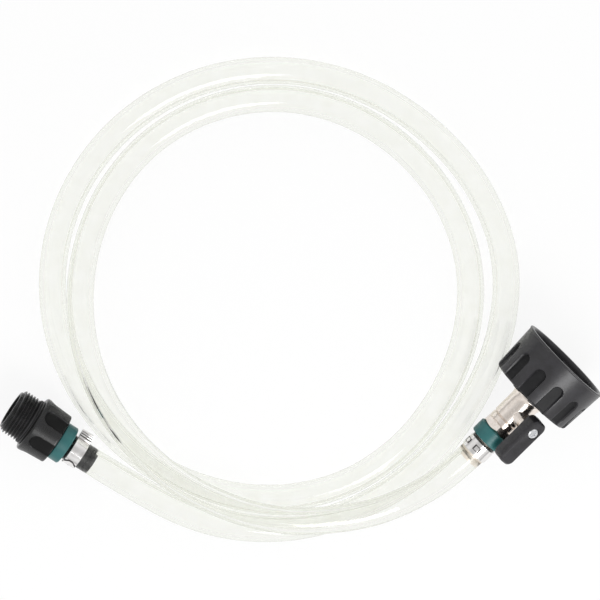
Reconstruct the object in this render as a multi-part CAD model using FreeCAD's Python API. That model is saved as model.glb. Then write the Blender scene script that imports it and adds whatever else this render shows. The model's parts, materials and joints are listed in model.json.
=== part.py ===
import FreeCAD, Part
import math
import os

from FreeCAD import Matrix, Vector

# Gravity transfer hose: a clear hose with a threaded union coupling on one end and a tap with a
# coarse-thread tank cap on the other. Millimetres. The origin is on the ground, at the middle of the
# box round the two fittings; +Z is up and +X runs from the coupling to the tap.

# ---------------------------------------------------------------- hose and how it lies
HOSE_OD = 19.0
HOSE_WALL = 3.0
COIL_CENTRE = (-14.4, 68.1)        # plan position of the middle of the loose coil
COIL_STEP = 20.0                   # degrees between two points of the coil
# Stations of the coil: bearing in degrees, centre-line radius, height of the centre line above a
# hose that lies on the ground. The last turn climbs over the first two.
COIL_STATIONS = [
    (250.0, 163.4, 0.0),
    (290.0, 156.3, 0.0),
    (330.0, 151.3, 0.0),
    (370.0, 161.0, 0.0),
    (410.0, 158.2, 0.0),
    (450.0, 161.0, 0.0),
    (490.0, 164.0, 0.0),
    (530.0, 161.0, 0.0),
    (570.0, 151.6, 0.0),
    (610.0, 141.8, 0.0),
    (650.0, 136.4, 0.0),
    (690.0, 131.4, 0.0),
    (730.0, 135.1, 0.0),
    (770.0, 136.9, 0.0),
    (810.0, 141.4, 0.0),
    (850.0, 142.8, 0.0),
    (890.0, 139.6, 2.6),
    (930.0, 140.4, 17.2),
    (970.0, 146.3, 20.0),
    (1010.0, 159.0, 20.9),
]
COIL_EXIT = (1023.0, 166.0, 17.9)  # one more point, where the hose leaves the coil for the tap
ARC_SHARE = 0.45                   # share of the shorter run that a bend takes on each side

# ---------------------------------------------------------------- where the two fittings lie
COUPLING_XY = (-163.6, -33.2)      # plan position of the hose's end face in the coupling
COUPLING_BEARING = 146.5           # plan direction from the hose to the coupling's mouth
COUPLING_TILT = 8.0                # rise of the axis towards the mouth
COUPLING_LEAD = 42.0               # straight hose behind the coupling
TAP_XY = (130.2, -28.9)
TAP_BEARING = 45.0
TAP_TILT = 7.0
TAP_LEAD = 34.0

# ---------------------------------------------------------------- fits
FACE_GAP = 0.1                     # axial play of the swivel
RUNNING_GAP = 0.08                 # radial play of a turning shaft
SEAT_GAP = 0.03                    # ball to its seats
THREAD_PLAY = 0.15                 # radial play of an engaged thread

# ---------------------------------------------------------------- barbed tails
BARB_COUNT = 4
BARB_HEIGHT = 0.75                 # how far a barb bites into the hose wall
TIP_LAND = 1.2                     # plain end before the first barb
COUPLING_BARB_LENGTH = 22.6
COUPLING_TAIL_BORE = 9.0
TAP_BARB_LENGTH = 19.5
TAP_WATERWAY = 9.0

# ---------------------------------------------------------------- colour rings
RING_HOSE_DEPTH = 1.5              # how deep the hose stands in a ring
RING_EDGE = 0.7
COUPLING_RING_OD = 28.3
COUPLING_RING_LENGTH = 8.7
COUPLING_COLLAR_OD = 17.0          # tail's shank under ring and nut
TAP_RING_OD = 24.8
TAP_RING_LENGTH = 10.3
TAP_COLLAR_OD = 16.0

# ---------------------------------------------------------------- hose clamps
CLAMP_WIDTH = 9.4
CLAMP_BAND = 0.8
CLAMP_OFFSET = 2.4                 # from the ring to the band
CLAMP_TONGUE_SPAN = 66.0           # degrees of overlap that show the tongue
CLAMP_TONGUE_POINT = 16.0          # degrees that the tongue's pointed end takes
CLAMP_HOLE = 1.6
CLAMP_EAR_HEIGHT = 6.0
CLAMP_EAR_WIDTH = 8.0
CLAMP_EAR_WAIST = 1.4              # pinch of the ear on each side, above its feet
CLAMP_EAR_ANGLE = 165.0            # from the tongue's middle to the ear
COUPLING_CLAMP_ROLL = -78.0
TAP_CLAMP_ROLL = -18.0

# ---------------------------------------------------------------- union nut, gasket and nipple
NUT_LENGTH = 21.0
NUT_FRONT_OD = 41.0
NUT_BACK_OD = 39.0
NUT_LIP = 4.0                      # wall behind the tail's flange
NUT_EDGE = 1.5
NUT_RECESSES = 6
NUT_RECESS_LENGTH = 17.5
NUT_RECESS_WIDTH = 10.4
NUT_RECESS_DEPTH = 1.9
NUT_RECESS_ROLL = 29.0
TAIL_FLANGE = 3.0
GASKET_THICKNESS = 2.4
GASKET_ID = 17.0
G1_MAJOR = 33.25
G1_MINOR = 30.29
G1_PITCH = 2.309
G1_SHARES = (0.72, 0.12)           # ridge width in the nut at root and crest, as shares of the pitch
NIPPLE_THREAD_LENGTH = 13.0
NIPPLE_LEAD = 1.6                  # plain end in front of the thread
NIPPLE_LEAD_OD = 28.4
NIPPLE_COLLAR = 1.2
NIPPLE_COLLAR_OD = 34.6
NIPPLE_BORE = 24.0
NIPPLE_SEAL_SECTION = 1.8
THREAD_CHAMFER = 1.2
THREAD_OVERCUT = 0.5               # how far the thread's trimming cuts run past its ends
THREAD_SEAM = 50.0                 # degrees between the seams of ridge, cuts and core
THREAD_INSET = 0.1                 # ridge ends short of the steps at both ends of its core
MALE_SHARES = (0.86, 0.14)         # ridge width on the nipple at root and crest, as shares of the pitch

# ---------------------------------------------------------------- tap
END_PIECE_LENGTH = 10.2
END_PIECE_FLATS = 22.0
END_PIECE_HEX = 5.4
END_PIECE_GROOVE = 0.5
TAIL_SPIGOT_OD = 14.0
TAIL_SPIGOT_LENGTH = 7.0
TAIL_SEAL_SECTION = 1.8
BODY_OD = 22.4
BODY_GROOVE = 0.5                  # gap between end piece and body
BODY_BARREL = 16.3
BODY_CAVITY = 16.6
BALL_OD = 15.4
SEAT_BORE = 10.4
SEAT_BACK = 1.0                    # seat thickness behind the ball's rim circle
STEM_ANGLE = 42.0                  # lean of the stem from upright, round the pipe
STEM_OD = 6.0
STEM_COLLAR_OD = 8.0
STEM_COLLAR = 1.2
STEM_TANG = 2.6
STEM_SLOT_DEPTH = 1.8
STEM_FLATS = 4.6
STEM_WASHER = 0.5
STEM_SEALS = 2
STEM_SEAL_SECTION = 1.0
STEM_SEAL_PITCH = 2.6
BOSS_OD = 10.4
BOSS_FLARE_OD = 14.0
BOSS_HEIGHT = 17.2                 # from the pipe axis
NECK_OD = 24.4
NECK_FLARE = 4.2                   # length over which the barrel widens to the neck
NECK_FLARE_STEPS = 5
NECK_SHOULDER = 1.9
NECK_SEAL = 0.8
NECK_THREAD_OD = 20.95
LEVER_LENGTH = 38.2
LEVER_WIDTH = 13.2
LEVER_THICKNESS = 9.8
LEVER_NOSE = 9.5                   # from the pivot to the near end
LEVER_WALL = 2.0
LEVER_CHAMFER = 1.3
LEVER_CORNER = 4.6
LEVER_HUB_OD = 10.4
LEVER_LIFT = 0.3                   # lever's hub above the boss
LEVER_SKIRT_RISE = 1.0             # lever's skirt above its hub
LEVER_TURN = 90.0
SCREW_HEAD_OD = 8.0
SCREW_HEAD = 2.6
SCREW_OD = 3.0
SCREW_LENGTH = 6.0
SCREW_SLOT = 1.0

# ---------------------------------------------------------------- tank cap
CAP_LENGTH = 35.6
CAP_MOUTH_OD = 68.0
CAP_BACK_OD = 64.8
CAP_BACK_WALL = 4.0
CAP_BACK_EDGE = 2.4
CAP_RIM = 1.0
CAP_RIM_PROUD = 0.5
CAP_RECESSES = 12
CAP_RECESS_LENGTH = 21.7
CAP_RECESS_WIDTH = 8.8
CAP_RECESS_DEPTH = 2.1             # below the middle of the cone
CAP_RECESS_ROLL = -13.6
CAP_LUGS = 6
CAP_LUG_WIDTH = 6.3
CAP_LUG_HEIGHT = 2.2
CAP_LUG_IN = 26.4
CAP_LUG_OUT = 33.0
CAP_LUG_ROLL = 11.0
CAP_HUB_OD = 30.0
CAP_HUB_HEIGHT = 3.0
S60_ROOT = 60.6                    # coarse tank thread, inside diameter between the ridges
S60_CREST = 55.4
S60_PITCH = 6.0
S60_SHARES = (0.56, 0.26)          # ridge width at its root and at its crest, as shares of the pitch
S60_LEAD = 3.0                     # length of the plain mouth before the thread
S60_MOUTH = 61.8                   # bore of that mouth
TANK_GASKET = 3.0
TANK_GASKET_MARGIN = 2.3           # from the gasket's rim to the cap's wall

os.makedirs("parts", exist_ok=True)


# ---------------------------------------------------------------- shape helpers
def turned(points):
    """A solid of revolution about the local Z axis, from (radius, height) corners."""
    corners = [Vector(r, 0, z) for r, z in points]
    face = Part.Face(Part.makePolygon(corners + corners[:1]))
    return face.revolve(Vector(0, 0, 0), Vector(0, 0, 1), 360)


def rod(diameter, z0, z1):
    return Part.makeCylinder(diameter / 2, z1 - z0, Vector(0, 0, z0))


def tube(outer, inner, z0, z1):
    return rod(outer, z0, z1).cut(rod(inner, z0, z1))


def torus_ring(inside, section, z):
    """A round seal whose inner diameter is inside."""
    return Part.makeTorus((inside + section) / 2, section / 2, Vector(0, 0, z))


def hexagon(flats, z0, z1):
    corner = flats / math.sqrt(3)
    points = [
        Vector(corner * math.cos(math.radians(60 * i)), corner * math.sin(math.radians(60 * i)), z0)
        for i in range(7)
    ]
    return Part.Face(Part.makePolygon(points)).extrude(Vector(0, 0, z1 - z0))


def around(shape, count, roll):
    """Copies of a shape round the local Z axis, as one compound."""
    copies = []
    for i in range(count):
        copy = shape.copy()
        copy.rotate(Vector(0, 0, 0), Vector(0, 0, 1), roll + 360.0 * i / count)
        copies.append(copy)
    return Part.makeCompound(copies)


def u_recess(radius, depth, width, z0, length):
    """Cutter for one grip recess at +X: open at z0, with a round closed end."""
    half = width / 2
    floor = radius - depth
    top = z0 + length - half
    a = Vector(floor, -half, z0 - 1)
    b = Vector(floor, -half, top)
    c = Vector(floor, half, top)
    d = Vector(floor, half, z0 - 1)
    crown = Vector(floor, 0, z0 + length)
    edges = [
        Part.LineSegment(a, b).toShape(),
        Part.Arc(b, crown, c).toShape(),
        Part.LineSegment(c, d).toShape(),
        Part.LineSegment(d, a).toShape(),
    ]
    return Part.Face(Part.Wire(edges)).extrude(Vector(4 * depth, 0, 0))


def thread_ridge(root, crest, pitch, z0, z1, root_share, crest_share):
    """The helical ridge of a thread, from the root diameter to the crest diameter."""
    step = (crest - root) / 2
    bite = math.copysign(0.15, step)
    base = root / 2 - bite
    tip = crest / 2 + bite
    start = z0 - pitch
    wide = root_share * pitch / 2
    narrow = crest_share * pitch / 2
    profile = Part.makePolygon([
        Vector(base, 0, start - wide),
        Vector(tip, 0, start - narrow),
        Vector(tip, 0, start + narrow),
        Vector(base, 0, start + wide),
        Vector(base, 0, start - wide),
    ])
    helix = Part.makeHelix(pitch, z1 - z0 + 2 * pitch, root / 2)
    helix.translate(Vector(0, 0, start))
    ridge = Part.Wire(helix.Edges).makePipeShell([profile], True, True)
    return ridge


def male_thread(root, crest, pitch, z0, z1, chamfer):
    """Helical ridge cut to its crest and chamfered at both ends, to be joined to its core."""
    slab = Part.makeBox(2 * root, 2 * root, z1 - z0, Vector(-root, -root, z0))
    ridge = thread_ridge(root, crest, pitch, z0, z1, *MALE_SHARES).common(slab)
    tip = crest / 2
    foot = tip - chamfer - THREAD_OVERCUT
    below = z0 - THREAD_OVERCUT
    above = z1 + THREAD_OVERCUT
    cutters = [
        [(tip, below), (tip, above), (crest, above), (crest, below)],
        [(foot, below), (crest, below + crest - foot), (crest, below)],
        [(foot, above), (crest, above), (crest, above - crest + foot)],
    ]
    for corners in cutters:
        cutter = turned(corners)
        cutter.rotate(Vector(0, 0, 0), Vector(0, 0, 1), THREAD_SEAM)
        ridge = ridge.cut(cutter)
    return ridge


def with_female_thread(shell, root, crest, pitch, z0, z1, root_share, crest_share):
    """The shell with a helical ridge in its bore of the root diameter, bored out to the crest."""
    ridge = thread_ridge(root, crest, pitch, z0, z1, root_share, crest_share)
    slab = Part.makeBox(2 * root, 2 * root, z1 - z0, Vector(-root, -root, z0))
    return shell.fuse(ridge.common(slab)).cut(rod(crest, z0, z1))


def barbs(length, grow=0.0):
    """Outer (radius, height) corners of a barbed tail, from its tip up to height 0."""
    root = HOSE_BORE / 2 + grow
    pitch = (length - TIP_LAND) / BARB_COUNT
    corners = [(root - 0.4, -length), (root - 0.4, -length + TIP_LAND)]
    for i in range(BARB_COUNT):
        top = -length + TIP_LAND + (i + 1) * pitch - 0.3 * pitch
        corners.append((root + BARB_HEIGHT, top))
        corners.append((root, top))
    corners.append((root, 0.0))
    return corners


def placed(shape, fitting):
    """A shape from a fitting's local frame in the object's frame."""
    return shape.transformed(fitting, True)


def fitting_frame(origin, bearing, tilt):
    """Local Z runs out of the fitting's mouth and local X points up, square to it."""
    b = math.radians(bearing)
    t = math.radians(tilt)
    z = Vector(math.cos(t) * math.cos(b), math.cos(t) * math.sin(b), math.sin(t))
    x = Vector(-math.sin(t) * math.cos(b), -math.sin(t) * math.sin(b), math.cos(t))
    y = z.cross(x)
    return Matrix(
        x.x, y.x, z.x, origin.x,
        x.y, y.y, z.y, origin.y,
        x.z, y.z, z.z, origin.z,
        0, 0, 0, 1,
    )


# ---------------------------------------------------------------- stations along each fitting
HOSE_BORE = HOSE_OD - 2 * HOSE_WALL

COUPLING_RING_BACK = -RING_HOSE_DEPTH
COUPLING_RING_FRONT = COUPLING_RING_BACK + COUPLING_RING_LENGTH
NUT_BACK = COUPLING_RING_FRONT + 2 * FACE_GAP
NUT_FRONT = NUT_BACK + NUT_LENGTH
FLANGE_BACK = NUT_BACK + NUT_LIP + FACE_GAP
FLANGE_FRONT = FLANGE_BACK + TAIL_FLANGE
NIPPLE_BACK = FLANGE_FRONT + GASKET_THICKNESS
COLLAR_FRONT = NUT_FRONT + FACE_GAP + NIPPLE_COLLAR
NIPPLE_THREAD_BACK = COLLAR_FRONT + NIPPLE_SEAL_SECTION
NIPPLE_THREAD_FRONT = NIPPLE_THREAD_BACK + NIPPLE_THREAD_LENGTH
NIPPLE_FRONT = NIPPLE_THREAD_FRONT + NIPPLE_LEAD
UNION_BORE = G1_MINOR - 1.0        # flange and gasket pass through the nut's thread

TAP_RING_BACK = -RING_HOSE_DEPTH
TAP_RING_FRONT = TAP_RING_BACK + TAP_RING_LENGTH
END_BACK = TAP_RING_FRONT
END_FRONT = END_BACK + END_PIECE_LENGTH
BODY_BACK = END_FRONT + BODY_GROOVE
BODY_FRONT = BODY_BACK + BODY_BARREL
BALL_AT = BODY_BACK + BODY_BARREL / 2
SEAT_RIM = math.sqrt((BALL_OD / 2) ** 2 - (SEAT_BORE / 2) ** 2)
SEAT_OUT = SEAT_RIM + SEAT_BACK    # seat's back face from the ball's centre
SEAT_IN = SEAT_OUT / 2             # seat's ball side face from the ball's centre
SHOULDER_BACK = BODY_FRONT + NECK_FLARE
SHOULDER_FRONT = SHOULDER_BACK + NECK_SHOULDER
CAP_BACK = SHOULDER_FRONT + NECK_SEAL
CAP_FLOOR = CAP_BACK + CAP_BACK_WALL
CAP_FRONT = CAP_BACK + CAP_LENGTH
NECK_FRONT = CAP_FLOOR + CAP_HUB_HEIGHT
CAVITY_FRONT = BALL_AT + SEAT_OUT

BALL_TOP = BALL_OD / 2
TANG_BOTTOM = BALL_TOP - STEM_SLOT_DEPTH + FACE_GAP
STEM_COLLAR_BOTTOM = BODY_CAVITY / 2 + FACE_GAP
STEM_COLLAR_TOP = STEM_COLLAR_BOTTOM + STEM_COLLAR
STEM_STEP = STEM_COLLAR_TOP + STEM_WASHER
HUB_BOTTOM = BOSS_HEIGHT + LEVER_LIFT
STEM_DRIVE = HUB_BOTTOM + 1.2
LEVER_BOTTOM = HUB_BOTTOM + LEVER_SKIRT_RISE
LEVER_TOP = LEVER_BOTTOM + LEVER_THICKNESS
SCREW_SEAT = LEVER_TOP - SCREW_HEAD + 0.3
STEM_TOP = SCREW_SEAT - 0.4


def lowest_rim(diameter, station, tilt):
    """Height of the hose's end face that sets a tilted rim down on the ground."""
    t = math.radians(tilt)
    return diameter / 2 * math.cos(t) - station * math.sin(t)


COUPLING_Z = lowest_rim(NUT_BACK_OD, NUT_BACK + NUT_EDGE / 2, COUPLING_TILT)
TAP_Z = lowest_rim(CAP_BACK_OD, CAP_BACK + CAP_BACK_EDGE, TAP_TILT)
COUPLING = fitting_frame(Vector(*COUPLING_XY, COUPLING_Z), COUPLING_BEARING, COUPLING_TILT)
TAP = fitting_frame(Vector(*TAP_XY, TAP_Z), TAP_BEARING, TAP_TILT)


# ---------------------------------------------------------------- hose
def between(before, start, end, after):
    """Middle value of a smooth curve through four even stations."""
    return (9 * (start + end) - before - after) / 16


def coil_point(bearing, radius, lift):
    b = math.radians(bearing)
    return Vector(
        COIL_CENTRE[0] + radius * math.cos(b),
        COIL_CENTRE[1] + radius * math.sin(b),
        HOSE_OD / 2 + lift,
    )


def coil_route():
    """Corner points of the coil, one every COIL_STEP degrees."""
    count = len(COIL_STATIONS)
    lay = []
    for i in range(count - 1):
        here = COIL_STATIONS[i]
        there = COIL_STATIONS[i + 1]
        before = COIL_STATIONS[i - 1] if i else here
        after = COIL_STATIONS[i + 2] if i + 2 < count else there
        lay.append(here)
        middle = [between(before[k], here[k], there[k], after[k]) for k in (1, 2)]
        lay.append(((here[0] + there[0]) / 2, middle[0], max(0.0, middle[1])))
    lay.append(COIL_STATIONS[-1])
    spread = 1 / math.cos(math.radians(COIL_STEP / 2))
    lay = [(bearing, radius * spread, lift) for bearing, radius, lift in lay]
    return [coil_point(*station) for station in lay + [COIL_EXIT]]


def hose_route():
    start = COUPLING.multVec(Vector(0, 0, 0))
    first = COUPLING.multVec(Vector(0, 0, -COUPLING_LEAD))
    last = TAP.multVec(Vector(0, 0, -TAP_LEAD))
    end = TAP.multVec(Vector(0, 0, 0))
    return [start, first] + coil_route() + [last, end]


def rounded_path(points):
    """Straight runs joined by tangent arcs. Gives the wire and the arcs' radii."""
    edges = []
    radii = []
    at = points[0]
    for i in range(1, len(points) - 1):
        back = points[i - 1] - points[i]
        on = points[i + 1] - points[i]
        trim = ARC_SHARE * min(back.Length, on.Length)
        back.normalize()
        on.normalize()
        half = (math.pi - back.getAngle(on)) / 2
        radius = trim / math.tan(half)
        radii.append(radius)
        enter = points[i] + back * trim
        leave = points[i] + on * trim
        inward = (back + on).normalize()
        middle = points[i] + inward * (radius / math.cos(half) - radius)
        edges.append(Part.LineSegment(at, enter).toShape())
        edges.append(Part.Arc(enter, middle, leave).toShape())
        at = leave
    edges.append(Part.LineSegment(at, points[-1]).toShape())
    return Part.Wire(edges), radii


def swept(path, diameter):
    start = path.Edges[0].valueAt(path.Edges[0].FirstParameter)
    along = path.Edges[0].tangentAt(path.Edges[0].FirstParameter)
    ring = Part.Wire(Part.makeCircle(diameter / 2, start, along))
    return path.makePipeShell([ring], True, False)


def hose():
    path, radii = rounded_path(hose_route())
    print("hose length", round(path.Length, 1), "least bend radius", round(min(radii), 1))
    print("bend radii", [round(r) for r in radii])
    solid = swept(path, HOSE_OD).cut(swept(path, HOSE_BORE))
    for length, frame in ((COUPLING_BARB_LENGTH, COUPLING), (TAP_BARB_LENGTH, TAP)):
        plug = turned([(0, -length)] + barbs(length) + [(0, 0)])
        solid = solid.cut(placed(plug, frame))
    section = math.pi * (HOSE_OD ** 2 - HOSE_BORE ** 2) / 4
    print("hose volume over section times length", round(solid.Volume / section / path.Length, 4))
    return solid


# ---------------------------------------------------------------- hose clamps
def clamp_tongue(outer, proud, half):
    """The pointed end that lies over the band, with its point towards +Y."""
    top = math.radians(CLAMP_TONGUE_SPAN / 2)
    shoulder = math.radians(CLAMP_TONGUE_SPAN / 2 - CLAMP_TONGUE_POINT)
    tongue = Part.makeCylinder(
        proud, CLAMP_WIDTH, Vector(0, 0, -half), Vector(0, 0, 1), CLAMP_TONGUE_SPAN
    )
    tongue.rotate(Vector(0, 0, 0), Vector(0, 0, 1), -CLAMP_TONGUE_SPAN / 2)
    tongue = tongue.cut(rod(2 * outer - 0.02, -CLAMP_WIDTH, CLAMP_WIDTH))
    for side in (-1, 1):
        corner = Part.makePolygon([
            Vector(0, proud * math.sin(top) + 0.01, side * half * 0.3),
            Vector(0, proud, side * half * 0.3),
            Vector(0, proud, side * CLAMP_WIDTH),
            Vector(0, proud * math.sin(shoulder), side * CLAMP_WIDTH),
            Vector(0, proud * math.sin(shoulder), side * half),
            Vector(0, proud * math.sin(top) + 0.01, side * half * 0.3),
        ])
        tongue = tongue.cut(Part.Face(corner).extrude(Vector(proud, 0, 0)))
    return tongue


def clamp_ear(inner, outer, half):
    """The folded ear at +X: a loop of band, pinched above its feet."""
    crown = outer + CLAMP_EAR_HEIGHT
    foot = CLAMP_EAR_WIDTH / 2
    waist = foot - CLAMP_EAR_WAIST
    side = [
        (inner + CLAMP_BAND / 4, foot),
        (outer + CLAMP_EAR_HEIGHT * 0.2, foot),
        (outer + CLAMP_EAR_HEIGHT * 0.4, waist),
        (crown - CLAMP_EAR_WAIST, foot - CLAMP_BAND / 2),
        (crown, waist),
    ]
    corners = [Vector(x, -y, -half) for x, y in side] + [Vector(x, y, -half) for x, y in reversed(side)]
    loop = Part.Face(Part.makePolygon(corners + corners[:1])).extrude(Vector(0, 0, CLAMP_WIDTH))
    middle = (outer + crown) / 2
    shrink = Matrix()
    shrink.move(Vector(-middle, 0, 0))
    shrink.scale(1 - 2 * CLAMP_BAND / (crown - inner), 1 - CLAMP_BAND / waist, 1.5)
    shrink.move(Vector(middle, 0, 0))
    loop = loop.cut(loop.transformGeometry(shrink))
    return loop.cut(rod(2 * inner + CLAMP_BAND / 2, -CLAMP_WIDTH, CLAMP_WIDTH))


def clamp(roll, back):
    """Ear clamp: a band with an overlapping pointed tongue on one side and a folded ear on the other."""
    half = CLAMP_WIDTH / 2
    inner = HOSE_OD / 2
    outer = inner + CLAMP_BAND
    proud = outer + CLAMP_BAND
    solid = tube(2 * outer, 2 * inner, -half, half).fuse(clamp_tongue(outer, proud, half))
    hole_from = Vector(outer - CLAMP_BAND / 4, 0, 0)
    solid = solid.cut(Part.makeCylinder(CLAMP_HOLE / 2, 2 * CLAMP_BAND, hole_from, Vector(1, 0, 0)))
    ear = clamp_ear(inner, outer, half)
    ear.rotate(Vector(0, 0, 0), Vector(0, 0, 1), CLAMP_EAR_ANGLE)
    solid = solid.fuse(ear).removeSplitter()
    solid.rotate(Vector(0, 0, 0), Vector(0, 0, 1), roll)
    solid.translate(Vector(0, 0, back - CLAMP_OFFSET - half))
    return solid


# ---------------------------------------------------------------- coupling
def colour_ring(outer, collar, back, front):
    r = outer / 2
    step = HOSE_OD / 2
    return turned([
        (collar / 2, 0),
        (step, 0),
        (step, back),
        (r - RING_EDGE, back),
        (r, back + RING_EDGE),
        (r, front - RING_EDGE),
        (r - RING_EDGE, front),
        (collar / 2, front),
    ])


def coupling_tail():
    collar = COUPLING_COLLAR_OD / 2
    outside = barbs(COUPLING_BARB_LENGTH) + [
        (collar, 0),
        (collar, FLANGE_BACK),
        (UNION_BORE / 2, FLANGE_BACK),
        (UNION_BORE / 2, FLANGE_FRONT),
    ]
    bore = COUPLING_TAIL_BORE / 2
    return turned(outside + [(bore, FLANGE_FRONT), (bore, -COUPLING_BARB_LENGTH)])


def union_nut():
    front = NUT_FRONT_OD / 2
    back = NUT_BACK_OD / 2
    shaft = COUPLING_COLLAR_OD / 2 + RUNNING_GAP
    lip = NUT_BACK + NUT_LIP
    bore = G1_MAJOR / 2 + THREAD_PLAY
    shell = turned([
        (shaft, NUT_BACK),
        (back - NUT_EDGE, NUT_BACK),
        (back - NUT_EDGE * 0.3, NUT_BACK + NUT_EDGE * 0.3),
        (back, NUT_BACK + NUT_EDGE),
        (front, NUT_FRONT - NUT_EDGE),
        (front - NUT_EDGE * 0.3, NUT_FRONT - NUT_EDGE * 0.3),
        (front - NUT_EDGE, NUT_FRONT),
        (bore, NUT_FRONT),
        (bore, lip),
        (shaft, lip),
    ])
    slot = u_recess((front + back) / 2, NUT_RECESS_DEPTH, NUT_RECESS_WIDTH, NUT_BACK, NUT_RECESS_LENGTH)
    shell = shell.cut(around(slot, NUT_RECESSES, NUT_RECESS_ROLL))
    crest = G1_MINOR + 2 * THREAD_PLAY
    return with_female_thread(shell, 2 * bore, crest, G1_PITCH, NIPPLE_BACK, NUT_FRONT - 1, *G1_SHARES)


def union_gasket():
    return tube(UNION_BORE, GASKET_ID, FLANGE_FRONT, NIPPLE_BACK)


def nipple():
    core = G1_MINOR / 2 - THREAD_PLAY
    collar = NIPPLE_COLLAR_OD / 2
    seal = core + 0.2
    lead = NIPPLE_LEAD_OD / 2
    body = turned([
        (NIPPLE_BORE / 2, NIPPLE_BACK),
        (core, NIPPLE_BACK),
        (core, NUT_FRONT + FACE_GAP),
        (collar - 0.3, NUT_FRONT + FACE_GAP),
        (collar, NUT_FRONT + FACE_GAP + 0.3),
        (collar, COLLAR_FRONT - 0.3),
        (collar - 0.3, COLLAR_FRONT),
        (seal, COLLAR_FRONT),
        (seal, NIPPLE_THREAD_BACK),
        (core, NIPPLE_THREAD_BACK),
        (core, NIPPLE_THREAD_FRONT),
        (lead, NIPPLE_THREAD_FRONT),
        (lead, NIPPLE_FRONT - 0.4),
        (lead - 0.4, NIPPLE_FRONT),
        (NIPPLE_BORE / 2 + 0.4, NIPPLE_FRONT),
        (NIPPLE_BORE / 2, NIPPLE_FRONT - 0.4),
    ])
    start = NIPPLE_THREAD_BACK + THREAD_INSET
    end = NIPPLE_THREAD_FRONT - THREAD_INSET
    thread = male_thread(2 * core, G1_MAJOR, G1_PITCH, start, end, THREAD_CHAMFER)
    thread.rotate(Vector(0, 0, 0), Vector(0, 0, 1), THREAD_SEAM)
    return body.fuse(thread)


def nipple_seal():
    inside = G1_MINOR - 2 * THREAD_PLAY + 0.4
    return torus_ring(inside, NIPPLE_SEAL_SECTION, COLLAR_FRONT + NIPPLE_SEAL_SECTION / 2)


# ---------------------------------------------------------------- tap
def tap_tail():
    collar = TAP_COLLAR_OD / 2
    spigot = TAIL_SPIGOT_OD / 2
    front = END_BACK + TAIL_SPIGOT_LENGTH
    groove = front - TAIL_SEAL_SECTION - 1.5
    seat = spigot - TAIL_SEAL_SECTION * 0.75
    bore = TAP_WATERWAY / 2
    return turned(barbs(TAP_BARB_LENGTH) + [
        (collar, 0),
        (collar, END_BACK),
        (spigot, END_BACK),
        (spigot, groove),
        (seat, groove),
        (seat, groove + TAIL_SEAL_SECTION),
        (spigot, groove + TAIL_SEAL_SECTION),
        (spigot, front),
        (bore, front),
        (bore, -TAP_BARB_LENGTH),
    ])


def tail_seal():
    section = TAIL_SEAL_SECTION * 0.75
    middle = END_BACK + TAIL_SPIGOT_LENGTH - 1.5 - TAIL_SEAL_SECTION / 2
    return torus_ring(TAIL_SPIGOT_OD - 2 * section, section, middle)


def end_piece():
    """Rear half of the tap: takes the tail, and closes the body behind the ball."""
    flats = END_PIECE_FLATS / 2
    groove = END_BACK + END_PIECE_HEX
    spigot = BODY_CAVITY / 2
    front = BALL_AT - SEAT_OUT
    corner = flats * 2 / math.sqrt(3)
    head = hexagon(END_PIECE_FLATS, END_BACK, groove).common(turned([
        (0, END_BACK),
        (flats - 0.4, END_BACK),
        (corner, END_BACK + 1.6),
        (corner, groove),
        (0, groove),
    ]))
    rest = turned([
        (0, groove),
        (flats - 0.7, groove),
        (flats - 0.7, groove + END_PIECE_GROOVE),
        (flats, groove + END_PIECE_GROOVE + 0.4),
        (flats, END_FRONT - 0.5),
        (flats - 0.5, END_FRONT),
        (spigot, END_FRONT),
        (spigot, front),
        (0, front),
    ])
    solid = head.fuse(rest)
    socket = END_BACK + TAIL_SPIGOT_LENGTH
    solid = solid.cut(rod(TAIL_SPIGOT_OD, END_BACK - 1, socket))
    return solid.cut(rod(TAP_WATERWAY, socket - 1, front + 1)).removeSplitter()


def stem_axis(shape):
    """Turns a shape whose own Z axis is the stem onto the stem's place in the tap."""
    s = shape.copy()
    s.rotate(Vector(0, 0, 0), Vector(0, 1, 0), 90)
    s.rotate(Vector(0, 0, 0), Vector(0, 0, 1), STEM_ANGLE)
    s.translate(Vector(0, 0, BALL_AT))
    return s


def tap_body():
    barrel = BODY_OD / 2
    neck = NECK_OD / 2
    outline = [
        (0, BODY_BACK),
        (barrel - 0.6, BODY_BACK),
        (barrel, BODY_BACK + 0.6),
    ]
    for i in range(NECK_FLARE_STEPS + 1):
        share = i / NECK_FLARE_STEPS
        widening = 1 - math.cos(math.pi / 2 * share)
        outline.append((barrel + (neck - barrel) * widening, BODY_FRONT + NECK_FLARE * share))
    outline += [
        (neck, SHOULDER_FRONT),
        (NECK_THREAD_OD / 2, SHOULDER_FRONT),
        (NECK_THREAD_OD / 2, NECK_FRONT - 0.8),
        (NECK_THREAD_OD / 2 - 0.8, NECK_FRONT),
        (0, NECK_FRONT),
    ]
    solid = turned(outline)
    boss = turned([
        (0, 0),
        (BOSS_FLARE_OD / 2, 0),
        (BOSS_FLARE_OD / 2, BODY_OD / 2 - 2.0),
        (BOSS_OD / 2, BODY_OD / 2 + 1.6),
        (BOSS_OD / 2, BOSS_HEIGHT - 0.4),
        (BOSS_OD / 2 - 0.4, BOSS_HEIGHT),
        (0, BOSS_HEIGHT),
    ])
    solid = solid.fuse(stem_axis(boss))
    solid = solid.cut(rod(BODY_CAVITY, BODY_BACK - 1, CAVITY_FRONT))
    solid = solid.cut(rod(TAP_WATERWAY, CAVITY_FRONT - 1, NECK_FRONT + 1))
    pocket = STEM_COLLAR_OD + 2 * RUNNING_GAP
    shaft = STEM_OD + 2 * RUNNING_GAP
    solid = solid.cut(stem_axis(rod(pocket, 0, STEM_STEP)))
    return solid.cut(stem_axis(rod(shaft, 0, BOSS_HEIGHT + 1))).removeSplitter()


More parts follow.
